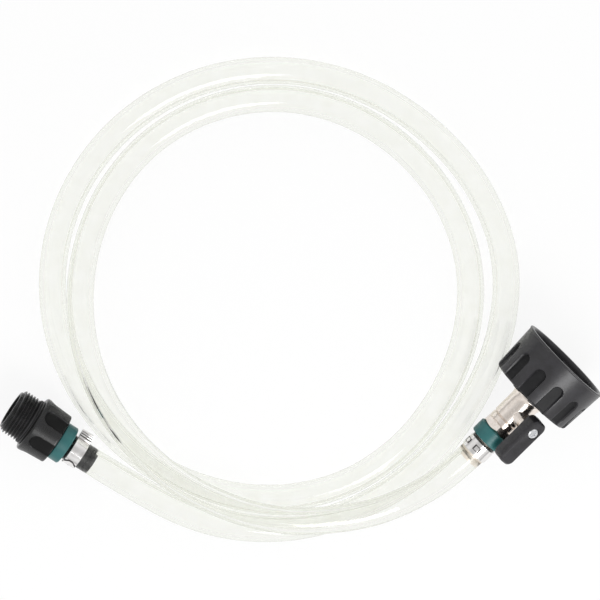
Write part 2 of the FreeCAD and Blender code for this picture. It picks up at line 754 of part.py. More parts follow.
def ball():
    solid = Part.makeSphere(BALL_OD / 2, Vector(0, 0, BALL_AT))
    solid = solid.cut(rod(TAP_WATERWAY, BALL_AT - BALL_OD, BALL_AT + BALL_OD))
    slot = Part.makeBox(
        BALL_OD, STEM_TANG + 2 * FACE_GAP, BALL_OD,
        Vector(-BALL_OD / 2, -STEM_TANG / 2 - FACE_GAP, BALL_TOP - STEM_SLOT_DEPTH),
    )
    return solid.cut(stem_axis(slot))


def seat(side):
    """Seat ring on one side of the ball: -1 towards the hose, 1 towards the tank."""
    ends = sorted((BALL_AT + side * SEAT_IN, BALL_AT + side * SEAT_OUT))
    ring = tube(BODY_CAVITY, SEAT_BORE, *ends)
    return ring.cut(Part.makeSphere(BALL_OD / 2 + SEAT_GAP, Vector(0, 0, BALL_AT)))


def seal_heights():
    middle = (STEM_STEP + BOSS_HEIGHT) / 2
    first = middle - STEM_SEAL_PITCH * (STEM_SEALS - 1) / 2
    return [first + i * STEM_SEAL_PITCH for i in range(STEM_SEALS)]


def stem():
    solid = rod(STEM_OD, STEM_COLLAR_BOTTOM, STEM_DRIVE)
    solid = solid.fuse(rod(STEM_COLLAR_OD, STEM_COLLAR_BOTTOM, STEM_COLLAR_TOP))
    tang_width = 2 * math.sqrt((STEM_OD / 2) ** 2 - (STEM_TANG / 2) ** 2)
    solid = solid.fuse(Part.makeBox(
        tang_width, STEM_TANG, STEM_COLLAR_BOTTOM - TANG_BOTTOM,
        Vector(-tang_width / 2, -STEM_TANG / 2, TANG_BOTTOM),
    ))
    drive = rod(STEM_OD, STEM_DRIVE, STEM_TOP).common(Part.makeBox(
        STEM_OD, STEM_FLATS, STEM_TOP,
        Vector(-STEM_OD / 2, -STEM_FLATS / 2, 0),
    ))
    solid = solid.fuse(drive)
    for z in seal_heights():
        half = STEM_SEAL_SECTION * 0.6
        solid = solid.cut(tube(STEM_OD + 1, STEM_OD - 2 * STEM_SEAL_SECTION, z - half, z + half))
    solid = solid.cut(rod(SCREW_OD, SCREW_SEAT - SCREW_LENGTH, STEM_TOP + 1))
    return stem_axis(solid.removeSplitter())


def stem_seals():
    rings = [torus_ring(STEM_OD - 2 * STEM_SEAL_SECTION, STEM_SEAL_SECTION, z) for z in seal_heights()]
    return stem_axis(Part.makeCompound(rings))


def stem_washer():
    return stem_axis(tube(STEM_COLLAR_OD, STEM_OD + 2 * RUNNING_GAP, STEM_COLLAR_TOP, STEM_STEP))


def lever():
    """Hollow handle. Its own +X runs from the pivot to the long end."""
    half = LEVER_WIDTH / 2
    near = -LEVER_NOSE
    far = LEVER_LENGTH - LEVER_NOSE
    block = Part.makeBox(LEVER_LENGTH, LEVER_WIDTH, LEVER_THICKNESS, Vector(near, -half, LEVER_BOTTOM))
    upright = [e for e in block.Edges if abs(e.tangentAt(e.FirstParameter).z) > 0.9]
    block = block.makeFillet(LEVER_CORNER, upright)
    top = [e for e in block.Edges if min(v.Z for v in e.Vertexes) > LEVER_TOP - 0.01]
    block = block.makeChamfer(LEVER_CHAMFER, top)
    room = Part.makeBox(
        LEVER_LENGTH - 2 * LEVER_WALL, LEVER_WIDTH - 2 * LEVER_WALL, LEVER_THICKNESS - LEVER_WALL,
        Vector(near + LEVER_WALL, -half + LEVER_WALL, LEVER_BOTTOM),
    )
    walls = [e for e in room.Edges if abs(e.tangentAt(e.FirstParameter).z) > 0.9]
    room = room.makeFillet(max(0.5, LEVER_CORNER - LEVER_WALL), walls)
    solid = block.cut(room)
    solid = solid.fuse(rod(LEVER_HUB_OD, HUB_BOTTOM, LEVER_TOP - LEVER_CHAMFER))
    solid = solid.cut(rod(STEM_OD, HUB_BOTTOM - 1, STEM_DRIVE))
    drive = rod(STEM_OD, STEM_DRIVE - 1, SCREW_SEAT).common(Part.makeBox(
        STEM_OD, STEM_FLATS, LEVER_TOP,
        Vector(-STEM_OD / 2, -STEM_FLATS / 2, 0),
    ))
    solid = solid.cut(drive)
    solid = solid.cut(rod(SCREW_HEAD_OD + 0.4, SCREW_SEAT, LEVER_TOP + 1)).removeSplitter()
    return stem_axis(solid)


def lever_screw():
    r = SCREW_HEAD_OD / 2
    solid = turned([
        (0, SCREW_SEAT - SCREW_LENGTH + 0.5),
        (SCREW_OD / 2, SCREW_SEAT - SCREW_LENGTH + 0.5),
        (SCREW_OD / 2, SCREW_SEAT),
        (r, SCREW_SEAT),
        (r, SCREW_SEAT + SCREW_HEAD - 0.9),
        (r - 0.9, SCREW_SEAT + SCREW_HEAD - 0.15),
        (0, SCREW_SEAT + SCREW_HEAD),
    ])
    deep = 1.1
    arm = 0.62 * SCREW_HEAD_OD
    top = SCREW_SEAT + SCREW_HEAD
    for size in ((arm, SCREW_SLOT), (SCREW_SLOT, arm)):
        solid = solid.cut(Part.makeBox(
            size[0], size[1], deep + 1,
            Vector(-size[0] / 2, -size[1] / 2, top - deep),
        ))
    return stem_axis(solid)


def neck_seal():
    return tube(NECK_OD, NECK_THREAD_OD, SHOULDER_FRONT, CAP_BACK)


# ---------------------------------------------------------------- tank cap
def tank_cap():
    back = CAP_BACK_OD / 2
    mouth = CAP_MOUTH_OD / 2
    rim = mouth + CAP_RIM_PROUD
    root = S60_ROOT / 2
    bore = S60_MOUTH / 2
    hub = CAP_HUB_OD / 2
    hole = NECK_THREAD_OD / 2
    thread_back = CAP_FLOOR + TANK_GASKET + 0.5
    thread_front = CAP_FRONT - S60_LEAD
    shell = turned([
        (hole, CAP_BACK),
        (back - CAP_BACK_EDGE, CAP_BACK),
        (back - CAP_BACK_EDGE * 0.3, CAP_BACK + CAP_BACK_EDGE * 0.3),
        (back, CAP_BACK + CAP_BACK_EDGE),
        (mouth, CAP_FRONT - CAP_RIM - 0.4),
        (rim, CAP_FRONT - CAP_RIM),
        (rim, CAP_FRONT - 0.4),
        (rim - 0.4, CAP_FRONT),
        (bore + 0.8, CAP_FRONT),
        (bore, CAP_FRONT - 0.8),
        (bore, thread_front),
        (root, thread_front),
        (root, CAP_FLOOR),
        (hub, CAP_FLOOR),
        (hub, NECK_FRONT),
        (hole, NECK_FRONT),
    ])
    slot = u_recess(
        (back + mouth) / 2, CAP_RECESS_DEPTH, CAP_RECESS_WIDTH, CAP_BACK, CAP_RECESS_LENGTH
    )
    shell = shell.cut(around(slot, CAP_RECESSES, CAP_RECESS_ROLL))
    lug = Part.makeBox(
        (CAP_LUG_OUT - CAP_LUG_IN) / 2, CAP_LUG_WIDTH, CAP_LUG_HEIGHT + 0.5,
        Vector(CAP_LUG_IN / 2, -CAP_LUG_WIDTH / 2, CAP_BACK - CAP_LUG_HEIGHT),
    )
    shell = shell.fuse(around(lug, CAP_LUGS, CAP_LUG_ROLL).Solids)
    return with_female_thread(shell, S60_ROOT, S60_CREST, S60_PITCH, thread_back, thread_front, *S60_SHARES)


def tank_gasket():
    return tube(S60_ROOT - 2 * TANK_GASKET_MARGIN, CAP_HUB_OD, CAP_FLOOR, CAP_FLOOR + TANK_GASKET)


# ---------------------------------------------------------------- the pieces
def build():
    coupling = {
        "coupling_tail": coupling_tail(),
        "coupling_ring": colour_ring(
            COUPLING_RING_OD, COUPLING_COLLAR_OD, COUPLING_RING_BACK, COUPLING_RING_FRONT
        ),
        "coupling_clamp": clamp(COUPLING_CLAMP_ROLL, COUPLING_RING_BACK),
        "union_nut": union_nut(),
        "union_gasket": union_gasket(),
        "nipple": nipple(),
        "nipple_seal": nipple_seal(),
    }
    tap = {
        "tap_tail": tap_tail(),
        "tap_ring": colour_ring(TAP_RING_OD, TAP_COLLAR_OD, TAP_RING_BACK, TAP_RING_FRONT),
        "tap_clamp": clamp(TAP_CLAMP_ROLL, TAP_RING_BACK),
        "tail_seal": tail_seal(),
        "tap_end_piece": end_piece(),
        "tap_body": tap_body(),
        "tap_ball": ball(),
        "hose_side_seat": seat(-1),
        "tank_side_seat": seat(1),
        "tap_stem": stem(),
        "stem_seals": stem_seals(),
        "stem_washer": stem_washer(),
        "tap_lever": lever(),
        "lever_screw": lever_screw(),
        "neck_seal": neck_seal(),
        "tank_cap": tank_cap(),
        "tank_gasket": tank_gasket(),
    }
    pieces = {name: placed(shape, COUPLING) for name, shape in coupling.items()}
    pieces.update({name: placed(shape, TAP) for name, shape in tap.items()})
    pieces["hose"] = hose()
    return pieces


for name, shape in build().items():
    shape.exportStep("parts/" + name + ".step")
    print(name, shape.isValid(), len(shape.Solids), round(shape.Volume, 1))
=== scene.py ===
# %% [markdown]
# # A gravity transfer hose with a tap
# The object is a clear hose that lies in a loose coil. One end has a black union coupling with a
# male pipe thread, and the other a nickel ball tap that screws onto a tank by a big black cap. The
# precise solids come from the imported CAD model. This lesson adds what CAD leaves out: the clear hose
# wall, the softened edges of the moulded pieces and the finishes. Everything is in metres, with Z up.

import json
import math

import bpy
from mathutils import Matrix, Vector


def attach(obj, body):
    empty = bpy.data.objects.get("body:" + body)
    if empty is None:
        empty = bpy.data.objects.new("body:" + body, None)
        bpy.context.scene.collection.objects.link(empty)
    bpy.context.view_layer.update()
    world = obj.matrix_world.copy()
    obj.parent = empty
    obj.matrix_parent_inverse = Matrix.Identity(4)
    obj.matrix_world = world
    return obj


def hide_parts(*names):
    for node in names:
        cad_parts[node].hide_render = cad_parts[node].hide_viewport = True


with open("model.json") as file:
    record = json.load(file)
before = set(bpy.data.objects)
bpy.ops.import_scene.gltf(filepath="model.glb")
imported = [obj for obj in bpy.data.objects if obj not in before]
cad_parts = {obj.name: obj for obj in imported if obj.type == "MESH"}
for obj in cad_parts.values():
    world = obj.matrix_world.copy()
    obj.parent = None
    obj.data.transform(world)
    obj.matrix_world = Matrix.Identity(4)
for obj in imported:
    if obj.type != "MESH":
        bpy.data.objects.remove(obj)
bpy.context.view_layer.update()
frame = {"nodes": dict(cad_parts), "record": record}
nodes = frame["nodes"]

# %% [markdown]
# The object lies flat, and a catalogue view looks straight down on it. A long lens far above keeps
# both fittings free of perspective, so the camera is over two and a half metres up. The width that
# it takes in sets the lens.

# %% Camera
CAMERA_HEIGHT = 2.6
VIEW_WIDTH = 0.42
VIEW_CENTRE = (0.0, 0.0681)
OBJECT_LEVEL = 0.015
VIEW_DEPTH = 20.0

lens_data = bpy.data.cameras.new("overhead")
lens_data.lens = lens_data.sensor_width * (CAMERA_HEIGHT - OBJECT_LEVEL) / VIEW_WIDTH
lens_data.clip_end = VIEW_DEPTH
camera = bpy.data.objects.new("overhead", lens_data)
camera.location = (*VIEW_CENTRE, CAMERA_HEIGHT)
bpy.context.scene.collection.objects.link(camera)
bpy.context.scene.camera = camera
bpy.context.scene.view_settings.view_transform = "Standard"
print("lens", round(lens_data.lens, 1), "mm")

# %% [markdown]
# Each fitting has its own frame: Z runs out of its mouth and X points up, square to that. A fitting
# rests on its lowest rim, so the height of its axis follows from the rim's size and the tilt. A
# piece is modelled upright round its own Z axis, and this frame then puts it in place. The frame's
# origin is where the hose ends in the fitting.

# %% Frames of the two fittings
MM = 0.001
HOSE_OD = 19.0 * MM
HOSE_BORE = 13.0 * MM
CAP_BACK_OD = 64.8 * MM
NUT_BACK_OD = 39.0 * MM
COUPLING_PLACE = (-163.6 * MM, -33.2 * MM)
COUPLING_REST = 8.15 * MM
COUPLING_BEARING = 146.5
COUPLING_TILT = 8.0
TAP_PLACE = (130.2 * MM, -28.9 * MM)
TAP_REST = 45.1 * MM
TAP_BEARING = 45.0
TAP_TILT = 7.0


def fitting_frame(x, y, rim, station, bearing, tilt):
    """Frame of a fitting whose rim of this diameter, at this station, lies on the ground."""
    b = math.radians(bearing)
    t = math.radians(tilt)
    height = rim / 2 * math.cos(t) - station * math.sin(t)
    out = Vector((math.cos(t) * math.cos(b), math.cos(t) * math.sin(b), math.sin(t)))
    up = Vector((-math.sin(t) * math.cos(b), -math.sin(t) * math.sin(b), math.cos(t)))
    side = out.cross(up)
    turn = Matrix((up, side, out)).transposed().to_4x4()
    return Matrix.Translation((x, y, height)) @ turn


COUPLING = fitting_frame(*COUPLING_PLACE, NUT_BACK_OD, COUPLING_REST, COUPLING_BEARING, COUPLING_TILT)
TAP = fitting_frame(*TAP_PLACE, CAP_BACK_OD, TAP_REST, TAP_BEARING, TAP_TILT)
print("coupling at", COUPLING.translation, "tap at", TAP.translation)

# %% [markdown]
# The hose is over two metres of soft clear tube. It leaves the coupling, makes two loose turns on the
# ground, climbs over them and ends in the tap. Loose turns are never true circles, so each has its own
# radius every forty degrees, and a loop adds a point between each two. A NURBS curve through that
# hull bends as evenly as a hose does.

# %% Route of the hose
COIL_CENTRE = (-14.4, 68.1)
COIL_STEP = 20.0
# bearing in degrees, radius and lift in millimetres
COIL_STATIONS = [
    (250.0, 163.4, 0.0), (290.0, 156.3, 0.0), (330.0, 151.3, 0.0), (370.0, 161.0, 0.0),
    (410.0, 158.2, 0.0), (450.0, 161.0, 0.0), (490.0, 164.0, 0.0), (530.0, 161.0, 0.0),
    (570.0, 151.6, 0.0), (610.0, 141.8, 0.0), (650.0, 136.4, 0.0), (690.0, 131.4, 0.0),
    (730.0, 135.1, 0.0), (770.0, 136.9, 0.0), (810.0, 141.4, 0.0), (850.0, 142.8, 0.0),
    (890.0, 139.6, 2.6), (930.0, 140.4, 17.2), (970.0, 146.3, 20.0), (1010.0, 159.0, 20.9),
]
COIL_EXIT = (1023.0, 166.0, 17.9)
COUPLING_LEAD = 42.0 * MM
TAP_LEAD = 34.0 * MM
CURVE_STEPS = 16


def coil_point(bearing, radius, lift):
    b = math.radians(bearing)
    x = COIL_CENTRE[0] + radius * math.cos(b)
    y = COIL_CENTRE[1] + radius * math.sin(b)
    return Vector((x * MM, y * MM, HOSE_OD / 2 + lift * MM))


def coil_route():
    """Control points of the coil: its stations, and between each two the middle of a cubic."""
    last = len(COIL_STATIONS) - 1
    lay = []
    for i in range(last):
        before = COIL_STATIONS[max(i - 1, 0)]
        here = COIL_STATIONS[i]
        there = COIL_STATIONS[i + 1]
        after = COIL_STATIONS[min(i + 2, last)]
        radius, lift = [(9 * (here[k] + there[k]) - before[k] - after[k]) / 16 for k in (1, 2)]
        lay += [here, ((here[0] + there[0]) / 2, radius, max(0.0, lift))]
    lay.append(COIL_STATIONS[last])
    spread = 1 / math.cos(math.radians(COIL_STEP / 2))
    points = [coil_point(bearing, radius * spread, lift) for bearing, radius, lift in lay]
    return points + [coil_point(*COIL_EXIT)]


def route_line(points, name):
    """Points along the NURBS curve that has these control points."""
    data = bpy.data.curves.new(name, "CURVE")
    data.dimensions = "3D"
    spline = data.splines.new("NURBS")
    spline.points.add(len(points) - 1)
    for point, place in zip(spline.points, points):
        point.co = (*place, 1.0)
    spline.order_u = 3
    spline.use_endpoint_u = True
    spline.resolution_u = CURVE_STEPS
    curve = bpy.data.objects.new(name, data)
    bpy.context.scene.collection.objects.link(curve)
    seen = curve.evaluated_get(bpy.context.evaluated_depsgraph_get())
    line_mesh = bpy.data.meshes.new_from_object(seen)
    line = [v.co.copy() for v in line_mesh.vertices]
    bpy.data.meshes.remove(line_mesh)
    bpy.data.objects.remove(curve)
    return line


hose_points = [COUPLING.translation.copy(), COUPLING @ Vector((0, 0, -COUPLING_LEAD))]
hose_points += coil_route()
hose_points += [TAP @ Vector((0, 0, -TAP_LEAD)), TAP.translation.copy()]
hose_line = route_line(hose_points, "hose_route")
hose_length = sum((b - a).length for a, b in zip(hose_line, hose_line[1:]))
print("hose line", len(hose_line), "points,", round(hose_length, 4), "m")

# %% [markdown]
# A clear tube shows both faces of its wall, so it needs a real bore. The mesh is two skins of rings
# along the line, joined at the ends. Each ring is turned as little as possible from the last one,
# which keeps the skin free of twist. Where a barbed tail sits, the soft wall has closed round it, so
# there the inner skin is a little inside the tail's surface.

# %% Hose wall
TAIL_IN_COUPLING = 25.0 * MM
TAIL_IN_TAP = 22.0 * MM
CLOSED_ROUND_TAIL = 0.5 * MM
AROUND_HOSE = 64


def rings_along(line):
    """Each point of a line with two directions across it, without twist."""
    found = []
    across = None
    for i, at in enumerate(line):
        ahead = (line[min(i + 1, len(line) - 1)] - line[max(i - 1, 0)]).normalized()
        if across is None:
            across = ahead.orthogonal()
        across = (across - ahead * across.dot(ahead)).normalized()
        found.append((at, across, ahead.cross(across)))
    return found


def distances_along(line):
    """How far along the line each of its points lies."""
    travelled = [0.0]
    for a, b in zip(line, line[1:]):
        travelled.append(travelled[-1] + (b - a).length)
    return travelled


def bore_radius(gone, whole):
    """Radius of the inner skin at a distance gone along the whole hose."""
    gripped = gone < TAIL_IN_COUPLING or whole - gone < TAIL_IN_TAP
    return HOSE_BORE / 2 - (CLOSED_ROUND_TAIL if gripped else 0.0)


def ring_of(at, u, v, radius):
    turns = [2 * math.pi * k / AROUND_HOSE for k in range(AROUND_HOSE)]
    return [at + (u * math.cos(turn) + v * math.sin(turn)) * radius for turn in turns]


def hose_mesh(line, name):
    """Outer skin down the line, inner skin back up it, and a flat ring of faces at each end."""
    places = list(zip(rings_along(line), distances_along(line)))
    whole = places[-1][1]
    loops = [ring_of(at, u, v, HOSE_OD / 2) for (at, u, v), gone in places]
    loops += [ring_of(at, u, v, bore_radius(gone, whole)) for (at, u, v), gone in reversed(places)]
    faces = []
    for i in range(len(loops)):
        here = i * AROUND_HOSE
        there = (i + 1) % len(loops) * AROUND_HOSE
        for k in range(AROUND_HOSE):
            n = (k + 1) % AROUND_HOSE
            faces.append((here + k, here + n, there + n, there + k))
    mesh = bpy.data.meshes.new(name)
    mesh.from_pydata([place for loop in loops for place in loop], [], faces)
    mesh.shade_smooth()
    return mesh


hose = bpy.data.objects.new("clear_hose", hose_mesh(hose_line, "clear_hose"))
bpy.context.scene.collection.objects.link(hose)
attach(hose, "hose_and_tap")
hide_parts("hose")
print("hose wall", len(hose.data.polygons), "faces")

# %% [markdown]
# A material is a small graph of nodes. These helpers make one with its Principled shader, and wire a
# noise of a given grain size through a ramp. All patterns read Object coordinates, so their sizes
# are in metres on the real thing.

# %% Helpers for materials
NOISE_LOW = 0.35
NOISE_HIGH = 0.65
PLASTIC_CLOUD = 7 * MM
PLASTIC_GRAIN = 0.35 * MM
PLASTIC_RELIEF = 0.012 * MM
PLASTIC_SPREAD = (-0.05, 0.07)
METAL_CLOUD = 3 * MM
METAL_GRAIN = 0.5 * MM
METAL_RELIEF = 0.03 * MM
METAL_SPREAD = (0.7, 1.4)


def principled(name, colour, roughness, metallic=0.0):
    material = bpy.data.materials.new(name)
    material.use_nodes = True
    shader = material.node_tree.nodes["Principled BSDF"]
    shader.inputs["Base Color"].default_value = (*colour, 1.0)
    shader.inputs["Roughness"].default_value = roughness
    shader.inputs["Metallic"].default_value = metallic
    return material, shader


def grain(material, size, detail=3.0):
    """A noise whose spots are about this size across."""
    tree = material.node_tree
    place = tree.nodes.new("ShaderNodeTexCoord")
    mapping = tree.nodes.new("ShaderNodeMapping")
    mapping.inputs["Scale"].default_value = [1.0 / size] * 3
    noise = tree.nodes.new("ShaderNodeTexNoise")
    noise.inputs["Scale"].default_value = 1.0
    noise.inputs["Detail"].default_value = detail
    tree.links.new(place.outputs["Object"], mapping.inputs["Vector"])
    tree.links.new(mapping.outputs["Vector"], noise.inputs["Vector"])
    return noise


def spread_to(material, source, low, high):
    """Map Range node that turns a noise into values from low to high."""
    tree = material.node_tree
    ranged = tree.nodes.new("ShaderNodeMapRange")
    ranged.inputs["From Min"].default_value = NOISE_LOW
    ranged.inputs["From Max"].default_value = NOISE_HIGH
    ranged.inputs["To Min"].default_value = low
    ranged.inputs["To Max"].default_value = high
    tree.links.new(source.outputs["Fac"], ranged.inputs["Value"])
    return ranged


def tint_between(material, source, shader, low, high):
    """Base colour that wanders between two tints with a noise."""
    tree = material.node_tree
    ramp = tree.nodes.new("ShaderNodeValToRGB")
    ramp.color_ramp.elements[0].position = NOISE_LOW
    ramp.color_ramp.elements[0].color = (*low, 1.0)
    ramp.color_ramp.elements[1].position = NOISE_HIGH
    ramp.color_ramp.elements[1].color = (*high, 1.0)
    tree.links.new(source.outputs["Fac"], ramp.inputs["Fac"])
    tree.links.new(ramp.outputs["Color"], shader.inputs["Base Color"])


def bump(material, shader, source, height):
    tree = material.node_tree
    node = tree.nodes.new("ShaderNodeBump")
    node.inputs["Distance"].default_value = height
    tree.links.new(source.outputs["Fac"], node.inputs["Height"])
    tree.links.new(node.outputs["Normal"], shader.inputs["Normal"])


def moulded(name, dark, light, roughness):
    """Moulded plastic: an even tint with a faint cloud, and the fine grain of the mould."""
    material, shader = principled(name, dark, roughness)
    cloud = grain(material, PLASTIC_CLOUD)
    tint_between(material, cloud, shader, dark, light)
    fine = grain(material, PLASTIC_GRAIN, detail=2.0)
    rough = spread_to(material, fine, *[roughness + step for step in PLASTIC_SPREAD])
    material.node_tree.links.new(rough.outputs["Result"], shader.inputs["Roughness"])
    bump(material, shader, fine, PLASTIC_RELIEF)
    return material


def polished(name, dark, light, roughness):
    """Bright metal: slight clouds in its tint and in how sharply it mirrors."""
    material, shader = principled(name, light, roughness, metallic=1.0)
    cloud = grain(material, METAL_CLOUD)
    tint_between(material, cloud, shader, dark, light)
    fine = grain(material, METAL_GRAIN)
    rough = spread_to(material, fine, *[roughness * share for share in METAL_SPREAD])
    material.node_tree.links.new(rough.outputs["Result"], shader.inputs["Roughness"])
    bump(material, shader, cloud, METAL_RELIEF)
    return material


def set_sheen(material, level):
    """How much of the studio a plastic mirrors, where 0.5 is the usual share."""
    material.node_tree.nodes["Principled BSDF"].inputs["Specular IOR Level"].default_value = level


# %% [markdown]
# The hose is soft clear plastic. Real glass-like refraction gives its look: the bright line over the
# bore, the darker bands where sight runs along the wall, and the tails that look as wide as the
# hose. A faint absorption inside the wall gives the grey-green of a thick edge. Lamps would leave
# hard caustics, so for shadow rays the wall is a pale tint that lets light through.

# %% Clear hose material
CLEAR_IOR = 1.45
SHADOW_TINT = (0.96, 0.965, 0.955, 1.0)
WALL_TINT = (0.90, 0.91, 0.86, 1.0)
WALL_DENSITY = 95.0
FILM_SPOTS = 11 * MM
FILM_TINTS = ((0.985, 0.985, 0.975), (1.0, 1.0, 0.998))


def clear_plastic(name):
    material, shader = principled(name, (1.0, 1.0, 1.0), 0.0)
    shader.inputs["Transmission Weight"].default_value = 1.0
    shader.inputs["IOR"].default_value = CLEAR_IOR
    tree = material.node_tree
    output = tree.nodes["Material Output"]
    through = tree.nodes.new("ShaderNodeBsdfTransparent")
    through.inputs["Color"].default_value = SHADOW_TINT
    path = tree.nodes.new("ShaderNodeLightPath")
    mix = tree.nodes.new("ShaderNodeMixShader")
    tree.links.new(path.outputs["Is Shadow Ray"], mix.inputs["Fac"])
    tree.links.new(shader.outputs["BSDF"], mix.inputs[1])
    tree.links.new(through.outputs["BSDF"], mix.inputs[2])
    tree.links.new(mix.outputs["Shader"], output.inputs["Surface"])
    inside = tree.nodes.new("ShaderNodeVolumeAbsorption")
    inside.inputs["Color"].default_value = WALL_TINT
    inside.inputs["Density"].default_value = WALL_DENSITY
    tree.links.new(inside.outputs["Volume"], output.inputs["Volume"])
    film = grain(material, FILM_SPOTS, detail=1.0)
    tint_between(material, film, shader, *FILM_TINTS)
    return material


hose.data.materials.append(clear_plastic("clear_hose_wall"))

# %% [markdown]
# The CAD record names a finish slot for every node. One table of finishes, and a loop over the
# record, dresses them all, inner pieces too, so nothing is left grey when a joint moves or a part is
# taken off. The pieces that are modelled further down have a few materials more: a charcoal for the
# cap and the lever, darker, less glossy floors for the grip recesses, which paint the shade in them,
# and a dark steel that paints the shade on the clamps' edges, in the gaps of their folds and in holes.

# %% Finishes for the CAD nodes
finishes = {
    "black_plastic": moulded("black_plastic_finish", (0.008, 0.008, 0.008), (0.013, 0.013, 0.014), 0.27),
    "teal_plastic": moulded("teal_plastic_finish", (0.016, 0.115, 0.118), (0.024, 0.140, 0.140), 0.38),
    "nickel_brass": polished("nickel_finish", (0.82, 0.74, 0.67), (0.92, 0.85, 0.79), 0.20),
    "stainless": polished("stainless_finish", (0.80, 0.78, 0.77), (0.88, 0.87, 0.86), 0.18),
    "zinc_steel": polished("zinc_finish", (0.80, 0.81, 0.83), (0.90, 0.91, 0.93), 0.26),
    "ptfe": moulded("ptfe_finish", (0.78, 0.78, 0.75), (0.85, 0.85, 0.83), 0.4),
    "seal_rubber": moulded("seal_rubber_finish", (0.012, 0.012, 0.013), (0.020, 0.020, 0.021), 0.6),
}
set_sheen(finishes["black_plastic"], 0.45)
charcoal = moulded("charcoal_plastic_finish", (0.019, 0.018, 0.020), (0.027, 0.026, 0.030), 0.32)
# These two materials are painted shade: darker, less glossy copies of the plastic for the floors of the
# cap's and the nut's recesses.
charcoal_recess_painted_shade = moulded("charcoal_painted_recess_shade", (0.010, 0.010, 0.011), (0.016, 0.016, 0.017), 0.5)
set_sheen(charcoal_recess_painted_shade, 0.22)
black_recess_painted_shade = moulded("black_painted_recess_shade", (0.005, 0.005, 0.005), (0.008, 0.008, 0.008), 0.45)
set_sheen(black_recess_painted_shade, 0.16)
# Painted shade: a dark steel for the clamps' edges, the gaps between the ear's folds and the holes,
# where shade falls.
steel_painted_shade = moulded("steel_painted_shade_material", (0.030, 0.026, 0.026), (0.060, 0.054, 0.052), 0.45)
for part in frame["record"]["subparts"]:
    node = nodes[part["node"]]
    if part["material_slot"] in finishes:
        node.data.materials.clear()
        node.data.materials.append(finishes[part["material_slot"]])

# %% [markdown]
# The moulded pieces are turned shells with grip recesses. A shell starts as a circle, and each
# extrude and resize draws the next ring of it, as a potter pulls up a wall. The object is then put in
# its fitting's frame, and its place is applied to the mesh.

# %% Helpers for turned pieces
SAME_PLACE = 0.002 * MM
SHARP_ANGLE = 35.0


def clear_selection():
    bpy.ops.object.select_all(action="DESELECT")


def select_only(piece):
    clear_selection()
    piece.select_set(True)
    bpy.context.view_layer.objects.active = piece


def apply_place():
    bpy.ops.object.transform_apply(location=True, rotation=True, scale=True)


def apply_modifier(piece, modifier):
    bpy.context.view_layer.objects.active = piece
    bpy.ops.object.modifier_apply(modifier=modifier.name)


def edit_selected(piece):
    select_only(piece)
    bpy.ops.object.mode_set(mode="EDIT")
    bpy.ops.mesh.select_mode(type="VERT")


def draw_ring(here, there):
    """Extrudes the selected ring from one (radius, height) to the next."""
    bpy.ops.mesh.extrude_region_move(TRANSFORM_OT_translate={"value": (0, 0, there[1] - here[1])})
    factor = there[0] / here[0]
    bpy.ops.transform.resize(value=(factor, factor, 1), center_override=(0, 0, there[1]))


def turned_wall(name, outline, steps):
    """An open wall through the (radius, height) corners of an outline."""
    clear_selection()
    bpy.ops.mesh.primitive_circle_add(vertices=steps, radius=outline[0][0])
    piece = bpy.context.object
    piece.name = name
    bpy.ops.object.mode_set(mode="EDIT")
    bpy.ops.mesh.select_all(action="SELECT")
    bpy.ops.transform.translate(value=(0, 0, outline[0][1]))
    for here, there in zip(outline, outline[1:]):
        draw_ring(here, there)
    bpy.ops.object.mode_set(mode="OBJECT")
    return piece


def select_verts(piece, wanted):
    """Selects, in edit mode, the vertices whose place passes a test."""
    edit_selected(piece)
    bpy.ops.mesh.select_all(action="DESELECT")
    bpy.ops.object.mode_set(mode="OBJECT")
    for vertex in piece.data.vertices:
        vertex.select = wanted(vertex.co)
    bpy.ops.object.mode_set(mode="EDIT")


def close_and_clean(piece):
    """Merges doubles, turns the faces outwards and smooths all but the sharp edges."""
    edit_selected(piece)
    bpy.ops.mesh.select_all(action="SELECT")
    bpy.ops.mesh.remove_doubles(threshold=SAME_PLACE)
    bpy.ops.mesh.normals_make_consistent(inside=False)
    bpy.ops.object.mode_set(mode="OBJECT")
    bpy.ops.object.shade_smooth_by_angle(angle=math.radians(SHARP_ANGLE))


def dress(piece, *looks):
    """Gives a piece its materials, the first of them all over."""
    piece.data.materials.clear()
    for look in looks:
        piece.data.materials.append(look)


def put_in(piece, fitting, body, slot, *replaced):
    """Moves a finished piece from its fitting's frame to its place, and gives it its body."""
    select_only(piece)
    piece.matrix_world = fitting @ piece.matrix_world
    apply_place()
    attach(piece, body)
    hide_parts(*replaced)
    lowest = min(vertex.co.z for vertex in piece.data.vertices)
    print(piece.name, len(piece.data.polygons), "faces, lowest point", round(lowest / MM, 2), "mm")


# %% [markdown]
# A grip recess is a U, open at the back of the piece and round at its other end. A cut would leave it
# knife-sharp, but a mould has soft edges. So each vertex of the wall gets a weight from its distance
# to the U's outline, full inside and none outside with a soft step between, and a Displace modifier
# pushes the wall in by that weight. The rim and the floor then come out rounded, as moulded.

# %% Grip recesses
RECESS_DEEPEST = 4.0 * MM
RECESS_SOFTNESS = 0.7 * MM
FLOOR_SLACK = 0.3 * MM


def recess_distance(across, along, width, length):
    """How far outside a U's outline a point lies, or inside where this is below zero."""
    past = along - (length - width / 2)
    if past < 0:
        return abs(across) - width / 2
    return math.hypot(across, past) - width / 2


def soft_step(distance):
    """1 well inside an outline and 0 well outside it, with a smooth change across the edge."""
    share = min(1.0, max(0.0, 0.5 - distance / RECESS_SOFTNESS))
    return share * share * (3 - 2 * share)


def turn_from_nearest(x, y, count, roll):
    """Angle from the middle of the nearest of count recesses, the first of them at this roll."""
    pitch = 2 * math.pi / count
    return (math.atan2(y, x) - math.radians(roll) + pitch / 2) % pitch - pitch / 2


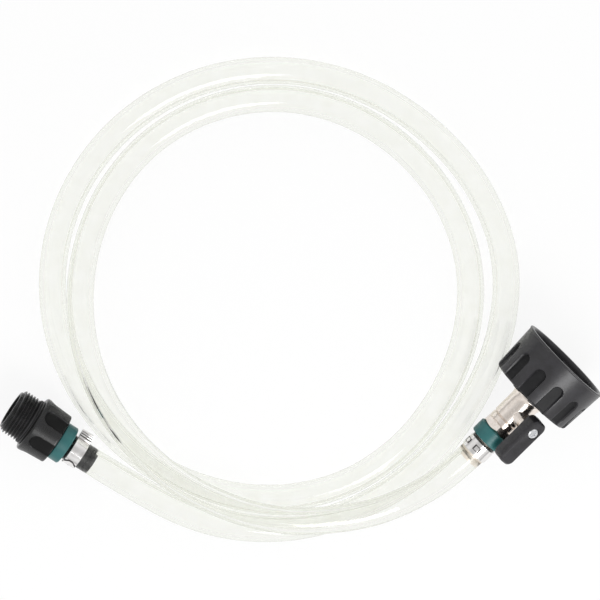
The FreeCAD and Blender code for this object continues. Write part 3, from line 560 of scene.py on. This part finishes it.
def face_outward(piece):
    """Turns a drawn wall's faces to the outside, so that a push along them has a known direction."""
    edit_selected(piece)
    bpy.ops.mesh.select_all(action="SELECT")
    bpy.ops.mesh.normals_make_consistent(inside=False)
    bpy.ops.object.mode_set(mode="OBJECT")
    face = piece.data.polygons[0]
    if face.normal.x * face.center.x + face.normal.y * face.center.y < 0:
        edit_selected(piece)
        bpy.ops.mesh.select_all(action="SELECT")
        bpy.ops.mesh.flip_normals()
        bpy.ops.object.mode_set(mode="OBJECT")


def press_recesses(piece, back, count, roll, width, length, floor):
    """Pushes equal flat-floored recesses into a wall, spaced evenly round it from a roll angle."""
    face_outward(piece)
    group = piece.vertex_groups.new(name="recess")
    for vertex in piece.data.vertices:
        x, y, z = vertex.co
        radius = math.hypot(x, y)
        offset = turn_from_nearest(x, y, count, roll)
        outside = recess_distance(radius * offset, z - back, width, length)
        depth = radius - floor / math.cos(offset)
        weight = soft_step(outside) * depth / RECESS_DEEPEST
        if weight > 0:
            group.add([vertex.index], weight, "REPLACE")
    press = piece.modifiers.new("press", "DISPLACE")
    press.vertex_group = group.name
    press.strength = -RECESS_DEEPEST
    press.mid_level = 0.0
    apply_modifier(piece, press)
    piece.vertex_groups.clear()
    deepest = min(math.hypot(vertex.co.x, vertex.co.y) for vertex in piece.data.vertices)
    print(piece.name, "recess floor at radius", round(deepest / MM, 2), "mm")


def paint_recess_shade(piece, back, count, roll, width, length, floor):
    """Gives the recess floors the piece's second material, the darker one that paints the shade in them.
    """
    for face in piece.data.polygons:
        x, y, z = face.center
        radius = math.hypot(x, y)
        offset = turn_from_nearest(x, y, count, roll)
        outside = recess_distance(radius * offset, z - back, width, length)
        if radius > floor - FLOOR_SLACK and outside < -RECESS_SOFTNESS / 4:
            face.material_index = 1


def even_steps(start, end, count):
    """(radius, height) corners that go straight from one to another."""
    return [tuple(a + (b - a) * i / count for a, b in zip(start, end)) for i in range(count + 1)]


# %% [markdown]
# The tank cap is the largest piece: a coarse-thread cap with twelve recesses, a thin proud rim at its
# mouth and a flat floor inside, with a raised hub round the tap's neck. The outer wall is drawn
# first, with fine rings where the recesses go, and its back ring is carried on over the edge. The
# inside is a second turned wall, from the back round the hub and up to the mouth. A wound ridge is
# the thread, and six lugs stand on the back round the neck. Most of the flat back between the two
# walls is still open. A likely cause is that the pressed ring lies a little off the back's height,
# where the bridge looks for it.

# %% Tank cap
CAP_STEPS = 648
CAP_BACK = 42.7 * MM
CAP_MOUTH = 78.3 * MM
CAP_MOUTH_RADIUS = 34.0 * MM
CAP_EDGE = 2.4 * MM
CAP_EDGE_IN = CAP_EDGE * 0.8
CAP_RIM_HEIGHT = 1.0 * MM
CAP_RIM_PROUD = 0.5 * MM
CAP_WALL_INSIDE = 30.3 * MM
CAP_LEAD_INSIDE = 30.9 * MM
CAP_LEAD = 3.0 * MM
CAP_FLOOR = CAP_BACK + 4.0 * MM
CAP_HUB_RADIUS = 15.0 * MM
CAP_HUB_TOP = CAP_FLOOR + 3.0 * MM
CAP_HOLE_RADIUS = 10.475 * MM
CAP_RECESS_LENGTH = 21.7 * MM
CAP_SOFT_ZONE = 23.0 * MM
CAP_FINE_RINGS = 46
CAP_COARSE_RINGS = 6
CAP_THREAD_ROOT = CAP_WALL_INSIDE + 0.15 * MM
CAP_THREAD_CREST = 27.7 * MM
CAP_THREAD_PITCH = 6.0 * MM
CAP_THREAD_START = CAP_FLOOR + 5.2 * MM
CAP_THREAD_TURNS = 3.5
CAP_THREAD_WIDTHS = (3.4 * MM, 1.6 * MM)
CAP_LUGS = 6
CAP_LUG_ROLL = 11.0
CAP_LUG_SIZE = (3.3 * MM, 6.3 * MM, 2.6 * MM)
CAP_LUG_PLACE = (14.85 * MM, 0, CAP_BACK - 0.9 * MM)
CAP_LUG_BEVEL = 0.4 * MM
# back, count, roll, width, length and the floor's radius
CAP_RECESSES = (CAP_BACK, 12, -13.6, 8.8 * MM, CAP_RECESS_LENGTH, 30.9 * MM)
RING_SLACK = 0.2 * MM
LEVEL_SLACK = 0.01 * MM
RIDGE_STEPS = 96
EDGE_STEPS = 5


def cap_outer_outline():
    """From the back edge up the outside to the mouth, with fine rings where the recesses go."""
    back = (CAP_BACK_OD / 2, CAP_BACK + CAP_EDGE)
    top = (CAP_MOUTH_RADIUS, CAP_MOUTH - CAP_RIM_HEIGHT - 0.5 * MM)
    share = (CAP_SOFT_ZONE - CAP_EDGE) / (top[1] - back[1])
    middle = tuple(a + (b - a) * share for a, b in zip(back, top))
    rim = CAP_MOUTH_RADIUS + CAP_RIM_PROUD
    outline = even_steps(back, middle, CAP_FINE_RINGS)
    outline += even_steps(middle, top, CAP_COARSE_RINGS)[1:]
    outline += [
        (rim - 0.15 * MM, CAP_MOUTH - CAP_RIM_HEIGHT - 0.1 * MM),
        (rim, CAP_MOUTH - CAP_RIM_HEIGHT + 0.15 * MM),
        (rim, CAP_MOUTH - 0.3 * MM),
        (rim - 0.12 * MM, CAP_MOUTH - 0.08 * MM),
        (rim - 0.4 * MM, CAP_MOUTH),
    ]
    return outline


def rounded_edge(radius, height, size, rise):
    """Corners of a soft edge, from a wall at this radius to a flat face at height + rise."""
    corners = []
    for i in range(EDGE_STEPS + 1):
        a = math.radians(90 / EDGE_STEPS * i)
        corners.append((radius - size * (1 - math.cos(a)), height + rise * math.sin(a)))
    return corners


def cap_inner_outline():
    """From the back face round the hub and up the inside to the mouth."""
    return [
        (CAP_HUB_RADIUS, CAP_BACK),
        (CAP_HOLE_RADIUS, CAP_BACK),
        (CAP_HOLE_RADIUS, CAP_HUB_TOP),
        (CAP_HUB_RADIUS - 0.3 * MM, CAP_HUB_TOP),
        (CAP_HUB_RADIUS, CAP_HUB_TOP - 0.3 * MM),
        (CAP_HUB_RADIUS, CAP_FLOOR),
        (CAP_WALL_INSIDE, CAP_FLOOR),
        (CAP_WALL_INSIDE, CAP_MOUTH - CAP_LEAD),
        (CAP_LEAD_INSIDE, CAP_MOUTH - CAP_LEAD),
        (CAP_LEAD_INSIDE, CAP_MOUTH - 0.8 * MM),
        (CAP_LEAD_INSIDE + 0.25 * MM, CAP_MOUTH - 0.3 * MM),
        (CAP_LEAD_INSIDE + 0.8 * MM, CAP_MOUTH),
        (CAP_MOUTH_RADIUS + CAP_RIM_PROUD - 0.4 * MM, CAP_MOUTH),
    ]


def carry_on(piece, outline):
    """Draws the open ring at an outline's first corner on through the rest of it."""
    select_verts(piece, lambda co: abs(co.z - outline[0][1]) < RING_SLACK)
    for here, there in zip(outline, outline[1:]):
        draw_ring(here, there)
    bpy.ops.object.mode_set(mode="OBJECT")


def join_to(piece, extra):
    select_only(piece)
    extra.select_set(True)
    bpy.ops.object.join()


def bridge_at(piece, height):
    """Bridges the open rings whose corners lie at one height."""
    select_verts(piece, lambda co: abs(co.z - height) < LEVEL_SLACK)
    bpy.ops.mesh.bridge_edge_loops()
    bpy.ops.object.mode_set(mode="OBJECT")


def wound_ridge(name, root, crest, pitch, start, turns, wide, narrow):
    """Helical ridge: a small four-sided outline that a Screw modifier winds up the wall."""
    clear_selection()
    bpy.ops.mesh.primitive_plane_add(size=1)
    ridge = bpy.context.object
    ridge.name = name
    corners = [(root, -wide / 2), (crest, -narrow / 2), (crest, narrow / 2), (root, wide / 2)]
    for index, (radius, rise) in zip((0, 1, 3, 2), corners):
        ridge.data.vertices[index].co = (radius, 0, start + rise)
    edit_selected(ridge)
    bpy.ops.mesh.select_all(action="SELECT")
    bpy.ops.mesh.delete(type="ONLY_FACE")
    bpy.ops.object.mode_set(mode="OBJECT")
    wind = ridge.modifiers.new("wind", "SCREW")
    wind.axis = "Z"
    wind.angle = turns * 2 * math.pi
    wind.screw_offset = turns * pitch
    wind.steps = int(RIDGE_STEPS * turns)
    wind.render_steps = wind.steps
    apply_modifier(ridge, wind)
    edit_selected(ridge)
    bpy.ops.mesh.select_all(action="SELECT")
    bpy.ops.mesh.fill_holes(sides=0)
    bpy.ops.object.mode_set(mode="OBJECT")
    return ridge


def small_block(name, size, place, bevel):
    """A block with softened edges, at a place in the fitting's frame."""
    clear_selection()
    bpy.ops.mesh.primitive_cube_add(size=1, location=place)
    block = bpy.context.object
    block.name = name
    block.scale = size
    apply_place()
    bpy.ops.object.mode_set(mode="EDIT")
    bpy.ops.mesh.select_all(action="SELECT")
    bpy.ops.mesh.bevel(offset=bevel, segments=3, affect="EDGES")
    bpy.ops.object.mode_set(mode="OBJECT")
    return block


cap = turned_wall("tank_cap_shell", cap_outer_outline(), CAP_STEPS)
press_recesses(cap, *CAP_RECESSES)
carry_on(cap, rounded_edge(CAP_BACK_OD / 2, CAP_BACK + CAP_EDGE, CAP_EDGE_IN, -CAP_EDGE))
join_to(cap, turned_wall("tank_cap_inside", cap_inner_outline(), CAP_STEPS))
bridge_at(cap, CAP_BACK)
join_to(cap, wound_ridge("tank_cap_thread", CAP_THREAD_ROOT, CAP_THREAD_CREST, CAP_THREAD_PITCH,
                         CAP_THREAD_START, CAP_THREAD_TURNS, *CAP_THREAD_WIDTHS))
for i in range(CAP_LUGS):
    lug = small_block("cap_lug", CAP_LUG_SIZE, CAP_LUG_PLACE, CAP_LUG_BEVEL)
    lug.rotation_euler.z = math.radians(CAP_LUG_ROLL + 360.0 / CAP_LUGS * i)
    apply_place()
    join_to(cap, lug)
close_and_clean(cap)
# Painted shade: the recess floors take the second, darker material.
dress(cap, charcoal, charcoal_recess_painted_shade)
paint_recess_shade(cap, *CAP_RECESSES)
put_in(cap, TAP, "hose_and_tap", "black_plastic", "tank_cap")

# %% [markdown]
# The union nut is the cap's small sister: six wide recesses in a shell that is round at both ends. Its
# inside is plain here, because the nipple fills it and turns with it. Most of its back is open too.

# %% Union nut
NUT_STEPS = 480
NUT_BACK = 7.4 * MM
NUT_FRONT = 28.4 * MM
NUT_FRONT_RADIUS = 20.5 * MM
NUT_EDGE = 1.5 * MM
NUT_BORE_RADIUS = 16.775 * MM
NUT_SHAFT_RADIUS = 8.58 * MM
NUT_LIP = 4.0 * MM
NUT_RINGS = 52
# back, count, roll, width, length and the floor's radius
NUT_RECESSES = (NUT_BACK, 6, 33.0, 10.4 * MM, 17.5 * MM, 18.0 * MM)


def nut_outer_outline():
    """From the back edge up the outside and round the front edge."""
    back = (NUT_BACK_OD / 2, NUT_BACK + NUT_EDGE)
    front = (NUT_FRONT_RADIUS, NUT_FRONT - NUT_EDGE)
    outline = even_steps(back, front, NUT_RINGS)
    return outline + rounded_edge(*front, NUT_EDGE, NUT_EDGE)[1:]


def nut_inner_outline():
    """From the back face up the inside to the front."""
    return [
        (NUT_SHAFT_RADIUS, NUT_BACK),
        (NUT_SHAFT_RADIUS, NUT_BACK + NUT_LIP),
        (NUT_BORE_RADIUS, NUT_BACK + NUT_LIP),
        (NUT_BORE_RADIUS, NUT_FRONT),
        (NUT_FRONT_RADIUS - NUT_EDGE, NUT_FRONT),
    ]


nut = turned_wall("union_nut_shell", nut_outer_outline(), NUT_STEPS)
press_recesses(nut, *NUT_RECESSES)
carry_on(nut, rounded_edge(NUT_BACK_OD / 2, NUT_BACK + NUT_EDGE, NUT_EDGE, -NUT_EDGE))
join_to(nut, turned_wall("union_nut_inside", nut_inner_outline(), NUT_STEPS))
bridge_at(nut, NUT_BACK)
close_and_clean(nut)
# Painted shade: the recess floors take the second, darker material.
dress(nut, finishes["black_plastic"], black_recess_painted_shade)
paint_recess_shade(nut, *NUT_RECESSES)
put_in(nut, COUPLING, "union_swivel", "black_plastic", "union_nut")

# %% [markdown]
# The lever is a hollow moulded handle. It starts as a block. Its four upright edges get a wide round,
# its top edge a chamfer, and its underside is inset and pushed in to hollow it. One Boolean adds the
# hub that takes the stem, and another sinks the screw's pocket. A last fine Bevel modifier softens
# the sharp edges, as a mould does.

# %% Tap lever
BALL_AT = 27.65 * MM
STEM_LEAN = 42.0
LEVER_SIZE = (38.2 * MM, 13.2 * MM, 9.8 * MM)
LEVER_NEAR = -9.5 * MM
LEVER_BOTTOM = 18.5 * MM
LEVER_TOP = LEVER_BOTTOM + LEVER_SIZE[2]
LEVER_WALL = 2.0 * MM
LEVER_CORNER = 4.6 * MM
LEVER_CORNER_STEPS = 10
LEVER_CHAMFER = 1.3 * MM
LEVER_SOFTNESS = 0.3 * MM
LEVER_HUB_RADIUS = 5.2 * MM
LEVER_HUB_BOTTOM = 17.5 * MM
SCREW_SEAT = 26.0 * MM
POCKET_RADIUS = 4.2 * MM
ROD_STEPS = 72
SOFT_STEPS = 3
SOFT_ANGLE = 28.0
STEM = TAP @ Matrix.Translation((0, 0, BALL_AT)) @ Matrix.Rotation(math.radians(STEM_LEAN), 4, "Z")
STEM = STEM @ Matrix.Rotation(math.radians(90.0), 4, "Y")


def bevel_where(piece, wanted, offset, segments):
    """Bevels the edges whose two ends pass a test."""
    edit_selected(piece)
    bpy.ops.mesh.select_mode(type="EDGE")
    bpy.ops.mesh.select_all(action="DESELECT")
    bpy.ops.object.mode_set(mode="OBJECT")
    places = [v.co for v in piece.data.vertices]
    for edge in piece.data.edges:
        edge.select = wanted(places[edge.vertices[0]], places[edge.vertices[1]])
    bpy.ops.object.mode_set(mode="EDIT")
    bpy.ops.mesh.bevel(offset=offset, segments=segments, affect="EDGES")
    bpy.ops.object.mode_set(mode="OBJECT")


def upright(a, b):
    return abs(a.z - b.z) > LEVER_SIZE[2] / 2


def on_top(a, b):
    return min(a.z, b.z) > LEVER_TOP - LEVEL_SLACK


def hollow_below(piece, wall, depth):
    """Insets the face that looks down and pushes it up."""
    edit_selected(piece)
    bpy.ops.mesh.select_mode(type="FACE")
    bpy.ops.mesh.select_all(action="DESELECT")
    bpy.ops.object.mode_set(mode="OBJECT")
    for face in piece.data.polygons:
        face.select = face.normal.z < -0.9
    bpy.ops.object.mode_set(mode="EDIT")
    bpy.ops.mesh.inset(thickness=wall)
    bpy.ops.mesh.extrude_region_move(TRANSFORM_OT_translate={"value": (0, 0, depth)})
    bpy.ops.object.mode_set(mode="OBJECT")


def rod(name, radius, bottom, top):
    clear_selection()
    bpy.ops.mesh.primitive_cylinder_add(vertices=ROD_STEPS, radius=radius, depth=top - bottom,
                                        location=(0, 0, (top + bottom) / 2))
    piece = bpy.context.object
    piece.name = name
    apply_place()
    return piece


def boolean(piece, other, operation):
    change = piece.modifiers.new(operation.lower(), "BOOLEAN")
    change.operation = operation
    change.object = other
    change.solver = "EXACT"
    apply_modifier(piece, change)
    bpy.data.objects.remove(other)


def soften(piece, width):
    round_off = piece.modifiers.new("soften", "BEVEL")
    round_off.width = width
    round_off.segments = SOFT_STEPS
    round_off.limit_method = "ANGLE"
    round_off.angle_limit = math.radians(SOFT_ANGLE)
    apply_modifier(piece, round_off)


lever_middle = (LEVER_NEAR + LEVER_SIZE[0] / 2, 0, (LEVER_BOTTOM + LEVER_TOP) / 2)
clear_selection()
bpy.ops.mesh.primitive_cube_add(size=1, location=lever_middle)
lever = bpy.context.object
lever.name = "tap_lever_handle"
lever.scale = LEVER_SIZE
apply_place()
bevel_where(lever, upright, LEVER_CORNER, LEVER_CORNER_STEPS)
bevel_where(lever, on_top, LEVER_CHAMFER, 1)
hollow_below(lever, LEVER_WALL, LEVER_SIZE[2] - LEVER_WALL)
boolean(lever, rod("hub", LEVER_HUB_RADIUS, LEVER_HUB_BOTTOM, LEVER_TOP - LEVER_WALL / 2), "UNION")
boolean(lever, rod("pocket", POCKET_RADIUS, SCREW_SEAT, LEVER_TOP + MM), "DIFFERENCE")
soften(lever, LEVER_SOFTNESS)
close_and_clean(lever)
dress(lever, charcoal)
put_in(lever, STEM, "tap_handle", "black_plastic", "tap_lever")

# %% [markdown]
# A steel ear clamp grips the hose on each tail. It is one strip: a band, a pointed tongue that laps
# over it, and an ear that is pinched up in folds to draw the band tight. The strip's faces are
# bright, but its edges and the gaps in the folds lie in shade, and that is what the eye reads. Here
# that shade is painted, with a dark steel material. The tongue is a grid bent round the band, with a
# Solidify modifier that gives its rim the painted shade, and a dark spot of painted shade stands for
# its small hole. The ear is a stack of folds, and each is a small softened block, with blocks of
# painted shade in the gaps between them. The tap's clamp turns its two hooked windows up, and not its
# tongue, and each window is a frame of painted shade round the next layer of steel.

# %% Ear clamps
CLAMP_MIDDLE = -8.6 * MM
CLAMP_HALF = 4.7 * MM
CLAMP_INSIDE = 9.5 * MM
CLAMP_OUTSIDE = 10.3 * MM
STRIP = 0.8 * MM
TONGUE_SPAN = 66.0
TONGUE_TAPER = 16.0
TONGUE_POINT = 0.3
TONGUE_LIFT = 0.02 * MM
# distance from the hose's middle, thickness, width and length, in millimetres
TONGUE_HOLE = (10.6, 0.55, 1.6, 1.6)
BAND_STEPS = 128
BAND_EDGE = 0.15 * MM
EAR_ANGLE = 165.0
# distance of each fold from the hose's middle, its thickness and its width, in millimetres
EAR_FOLDS = [(9.9, 1.6, 8.0), (12.2, 0.9, 6.2), (13.8, 0.9, 6.6), (15.1, 0.8, 6.2)]
# The gaps between the folds are blocks of painted shade, listed the same way.
EAR_GAPS = [(11.4, 0.9, 5.6), (13.0, 0.9, 5.6), (14.6, 0.6, 5.8)]
WINDOW_LENGTH = 4.0
WINDOW_WIDTH = 5.4
WINDOW_FRAME = 1.0
# distance from the hose's middle and thickness, in millimetres
WINDOW_EDGE = (10.0, 0.45)
WINDOW_INSIDE = (10.1, 0.5)
FOLD_LENGTH = 9.4
GAP_LENGTH = 9.2
HOLE_BEVEL = 0.3
FOLD_BEVEL = 0.2
THIN_BEVEL = 0.1
COUPLING_CLAMP_ROLL = -78.0
TAP_CLAMP_ROLL = -18.0
TAP_CLAMP_WINDOWS = (14.0, -44.0)


def clamp_band(name):
    low = CLAMP_MIDDLE - CLAMP_HALF
    high = CLAMP_MIDDLE + CLAMP_HALF
    outline = [
        (CLAMP_INSIDE, low), (CLAMP_OUTSIDE - BAND_EDGE, low), (CLAMP_OUTSIDE, low + BAND_EDGE),
        (CLAMP_OUTSIDE, high - BAND_EDGE), (CLAMP_OUTSIDE - BAND_EDGE, high), (CLAMP_INSIDE, high),
        (CLAMP_INSIDE, low),
    ]
    band = turned_wall(name, outline, BAND_STEPS)
    dress(band, finishes["stainless"])
    return band


def tongue_half_width(degrees_left):
    """Half the tongue's width, this far before its point."""
    share = min(1.0, degrees_left / TONGUE_TAPER)
    return CLAMP_HALF * (TONGUE_POINT + (1.0 - TONGUE_POINT) * share)


def clamp_tongue():
    clear_selection()
    bpy.ops.mesh.primitive_grid_add(x_subdivisions=32, y_subdivisions=4, size=2)
    tongue = bpy.context.object
    reach = CLAMP_OUTSIDE + TONGUE_LIFT
    for vertex in tongue.data.vertices:
        along, across, _ = vertex.co
        degrees = along * TONGUE_SPAN / 2
        width = tongue_half_width(TONGUE_SPAN / 2 - degrees)
        a = math.radians(degrees)
        vertex.co = (reach * math.cos(a), reach * math.sin(a), CLAMP_MIDDLE + across * width)
    dress(tongue, finishes["stainless"], steel_painted_shade)
    plate = tongue.modifiers.new("plate", "SOLIDIFY")
    plate.thickness = STRIP
    plate.offset = 1.0
    # The rim takes the second material, which is painted shade.
    plate.material_offset_rim = 1
    apply_modifier(tongue, plate)
    return tongue


def turned_about_hose(piece, degrees):
    select_only(piece)
    piece.rotation_euler.z = math.radians(degrees)
    apply_place()
    return piece


def block_on_clamp(distance, thickness, width, length, degrees, finish, bevel=FOLD_BEVEL):
    """A block that stands on the band, with sizes in millimetres."""
    place = ((distance + thickness / 2) * MM, 0, CLAMP_MIDDLE)
    block = small_block("fold", (thickness * MM, width * MM, length * MM), place, bevel * MM)
    dress(block, finish)
    return turned_about_hose(block, degrees)


def clamp_window(degrees):
    """A hooked window in the strip: a frame of painted shade for its edge, with the next layer of steel
    inside it.
    """
    edge = block_on_clamp(*WINDOW_EDGE, WINDOW_WIDTH, WINDOW_LENGTH, degrees, steel_painted_shade, THIN_BEVEL)
    inside = block_on_clamp(
        *WINDOW_INSIDE, WINDOW_WIDTH - 2 * WINDOW_FRAME, WINDOW_LENGTH - WINDOW_FRAME, degrees,
        finishes["stainless"], THIN_BEVEL,
    )
    join_to(edge, inside)
    return edge


def ear_clamp(name, roll, windows, fitting, replaced):
    """A clamp at a roll about its fitting, with windows at these angles or else a tongue."""
    clamp = clamp_band(name)
    if not windows:
        join_to(clamp, clamp_tongue())
        # A dark spot of painted shade stands for the tongue's hole.
        join_to(clamp, block_on_clamp(*TONGUE_HOLE, 0.0, steel_painted_shade, HOLE_BEVEL))
    for degrees in windows:
        join_to(clamp, clamp_window(degrees))
    for fold in EAR_FOLDS:
        join_to(clamp, block_on_clamp(*fold, FOLD_LENGTH, EAR_ANGLE, finishes["stainless"]))
    # Blocks of painted shade fill the gaps between the folds.
    for gap in EAR_GAPS:
        join_to(clamp, block_on_clamp(*gap, GAP_LENGTH, EAR_ANGLE, steel_painted_shade, THIN_BEVEL))
    close_and_clean(clamp)
    turned_about_hose(clamp, roll)
    put_in(clamp, fitting, "hose_and_tap", "stainless", replaced)


ear_clamp("coupling_ear_clamp", COUPLING_CLAMP_ROLL, (), COUPLING, "coupling_clamp")
ear_clamp("tap_ear_clamp", TAP_CLAMP_ROLL, TAP_CLAMP_WINDOWS, TAP, "tap_clamp")

# %% [markdown]
# The studio is a pale floor under soft light, as for a catalogue. The world lights the object
# evenly, and one wide lamp gives it shape. The white behind the object comes from what camera rays
# see, not from more light. Mirror rays meet a brighter band part way up and a greyer zenith, as under
# softboxes round a table, which keeps black plastic black and draws the dark lines in metal.

# %% Floor, world and lamp
FLOOR_GLOW_SHARE = 0.88
FLOOR_SIZE = 6.0
FLOOR_CENTRE = (0.0, 0.07, 0.0)
FLOOR_WHITE = (0.92, 0.92, 0.92)
FLOOR_ROUGHNESS = 0.9
SKY_LOW = (0.30, 0.30, 0.30, 1.0)
SKY_TOP = (0.58, 0.58, 0.59, 1.0)
# share of the sky's height, and the grey level there
SKY_BETWEEN = ((0.25, 0.80), (0.62, 0.90), (0.85, 0.62))
LAMP_PLACE = (0.25, -0.75, 1.0)
LAMP_AIM = (0.0, 0.05, 0.0)
LAMP_SIZE = 0.6
LAMP_WATTS = 8.0


def greatest_of(tree, first, second):
    node = tree.nodes.new("ShaderNodeMath")
    node.operation = "MAXIMUM"
    tree.links.new(first, node.inputs[0])
    tree.links.new(second, node.inputs[1])
    return node.outputs[0]


def studio_floor():
    clear_selection()
    bpy.ops.mesh.primitive_plane_add(size=FLOOR_SIZE, location=FLOOR_CENTRE)
    floor = bpy.context.object
    floor.name = "studio_floor"
    material, shader = principled("floor_white", FLOOR_WHITE, FLOOR_ROUGHNESS)
    shader.inputs["Specular IOR Level"].default_value = 0.0
    tree = material.node_tree
    glow = tree.nodes.new("ShaderNodeEmission")
    glow.inputs["Strength"].default_value = 1.0
    path = tree.nodes.new("ShaderNodeLightPath")
    seen = greatest_of(tree, path.outputs["Is Camera Ray"], path.outputs["Is Glossy Ray"])
    seen = greatest_of(tree, seen, path.outputs["Is Transmission Ray"])
    share = tree.nodes.new("ShaderNodeMath")
    share.operation = "MULTIPLY"
    share.inputs[1].default_value = FLOOR_GLOW_SHARE
    mix = tree.nodes.new("ShaderNodeMixShader")
    tree.links.new(seen, share.inputs[0])
    tree.links.new(share.outputs[0], mix.inputs["Fac"])
    tree.links.new(shader.outputs["BSDF"], mix.inputs[1])
    tree.links.new(glow.outputs["Emission"], mix.inputs[2])
    tree.links.new(mix.outputs["Shader"], tree.nodes["Material Output"].inputs["Surface"])
    floor.data.materials.append(material)


def studio_world():
    """White for camera and transmission rays; for the rest, brightness by height in the sky."""
    world = bpy.data.worlds.new("studio")
    bpy.context.scene.world = world
    world.use_nodes = True
    tree = world.node_tree
    background = tree.nodes["Background"]
    path = tree.nodes.new("ShaderNodeLightPath")
    place = tree.nodes.new("ShaderNodeTexCoord")
    split = tree.nodes.new("ShaderNodeSeparateXYZ")
    sky = tree.nodes.new("ShaderNodeValToRGB")
    stops = sky.color_ramp.elements
    stops[0].position = 0.0
    stops[0].color = SKY_LOW
    stops[1].position = 1.0
    stops[1].color = SKY_TOP
    for position, level in SKY_BETWEEN:
        stop = stops.new(position)
        stop.color = (level, level, level, 1.0)
    tree.links.new(place.outputs["Generated"], split.inputs["Vector"])
    tree.links.new(split.outputs["Z"], sky.inputs["Fac"])
    seen = greatest_of(tree, path.outputs["Is Camera Ray"], path.outputs["Is Transmission Ray"])
    strength = greatest_of(tree, sky.outputs["Color"], seen)
    tree.links.new(strength, background.inputs["Strength"])
    background.inputs["Color"].default_value = (1.0, 1.0, 1.0, 1.0)


def softbox(name, place, aim, size, watts):
    lamp_data = bpy.data.lights.new(name, "AREA")
    lamp_data.shape = "SQUARE"
    lamp_data.size = size
    lamp_data.energy = watts
    lamp = bpy.data.objects.new(name, lamp_data)
    lamp.location = place
    lamp.rotation_euler = (Vector(aim) - Vector(place)).to_track_quat("-Z", "Y").to_euler()
    lamp.visible_transmission = False
    bpy.context.scene.collection.objects.link(lamp)


studio_floor()
studio_world()
softbox("key_softbox", LAMP_PLACE, LAMP_AIM, LAMP_SIZE, LAMP_WATTS)
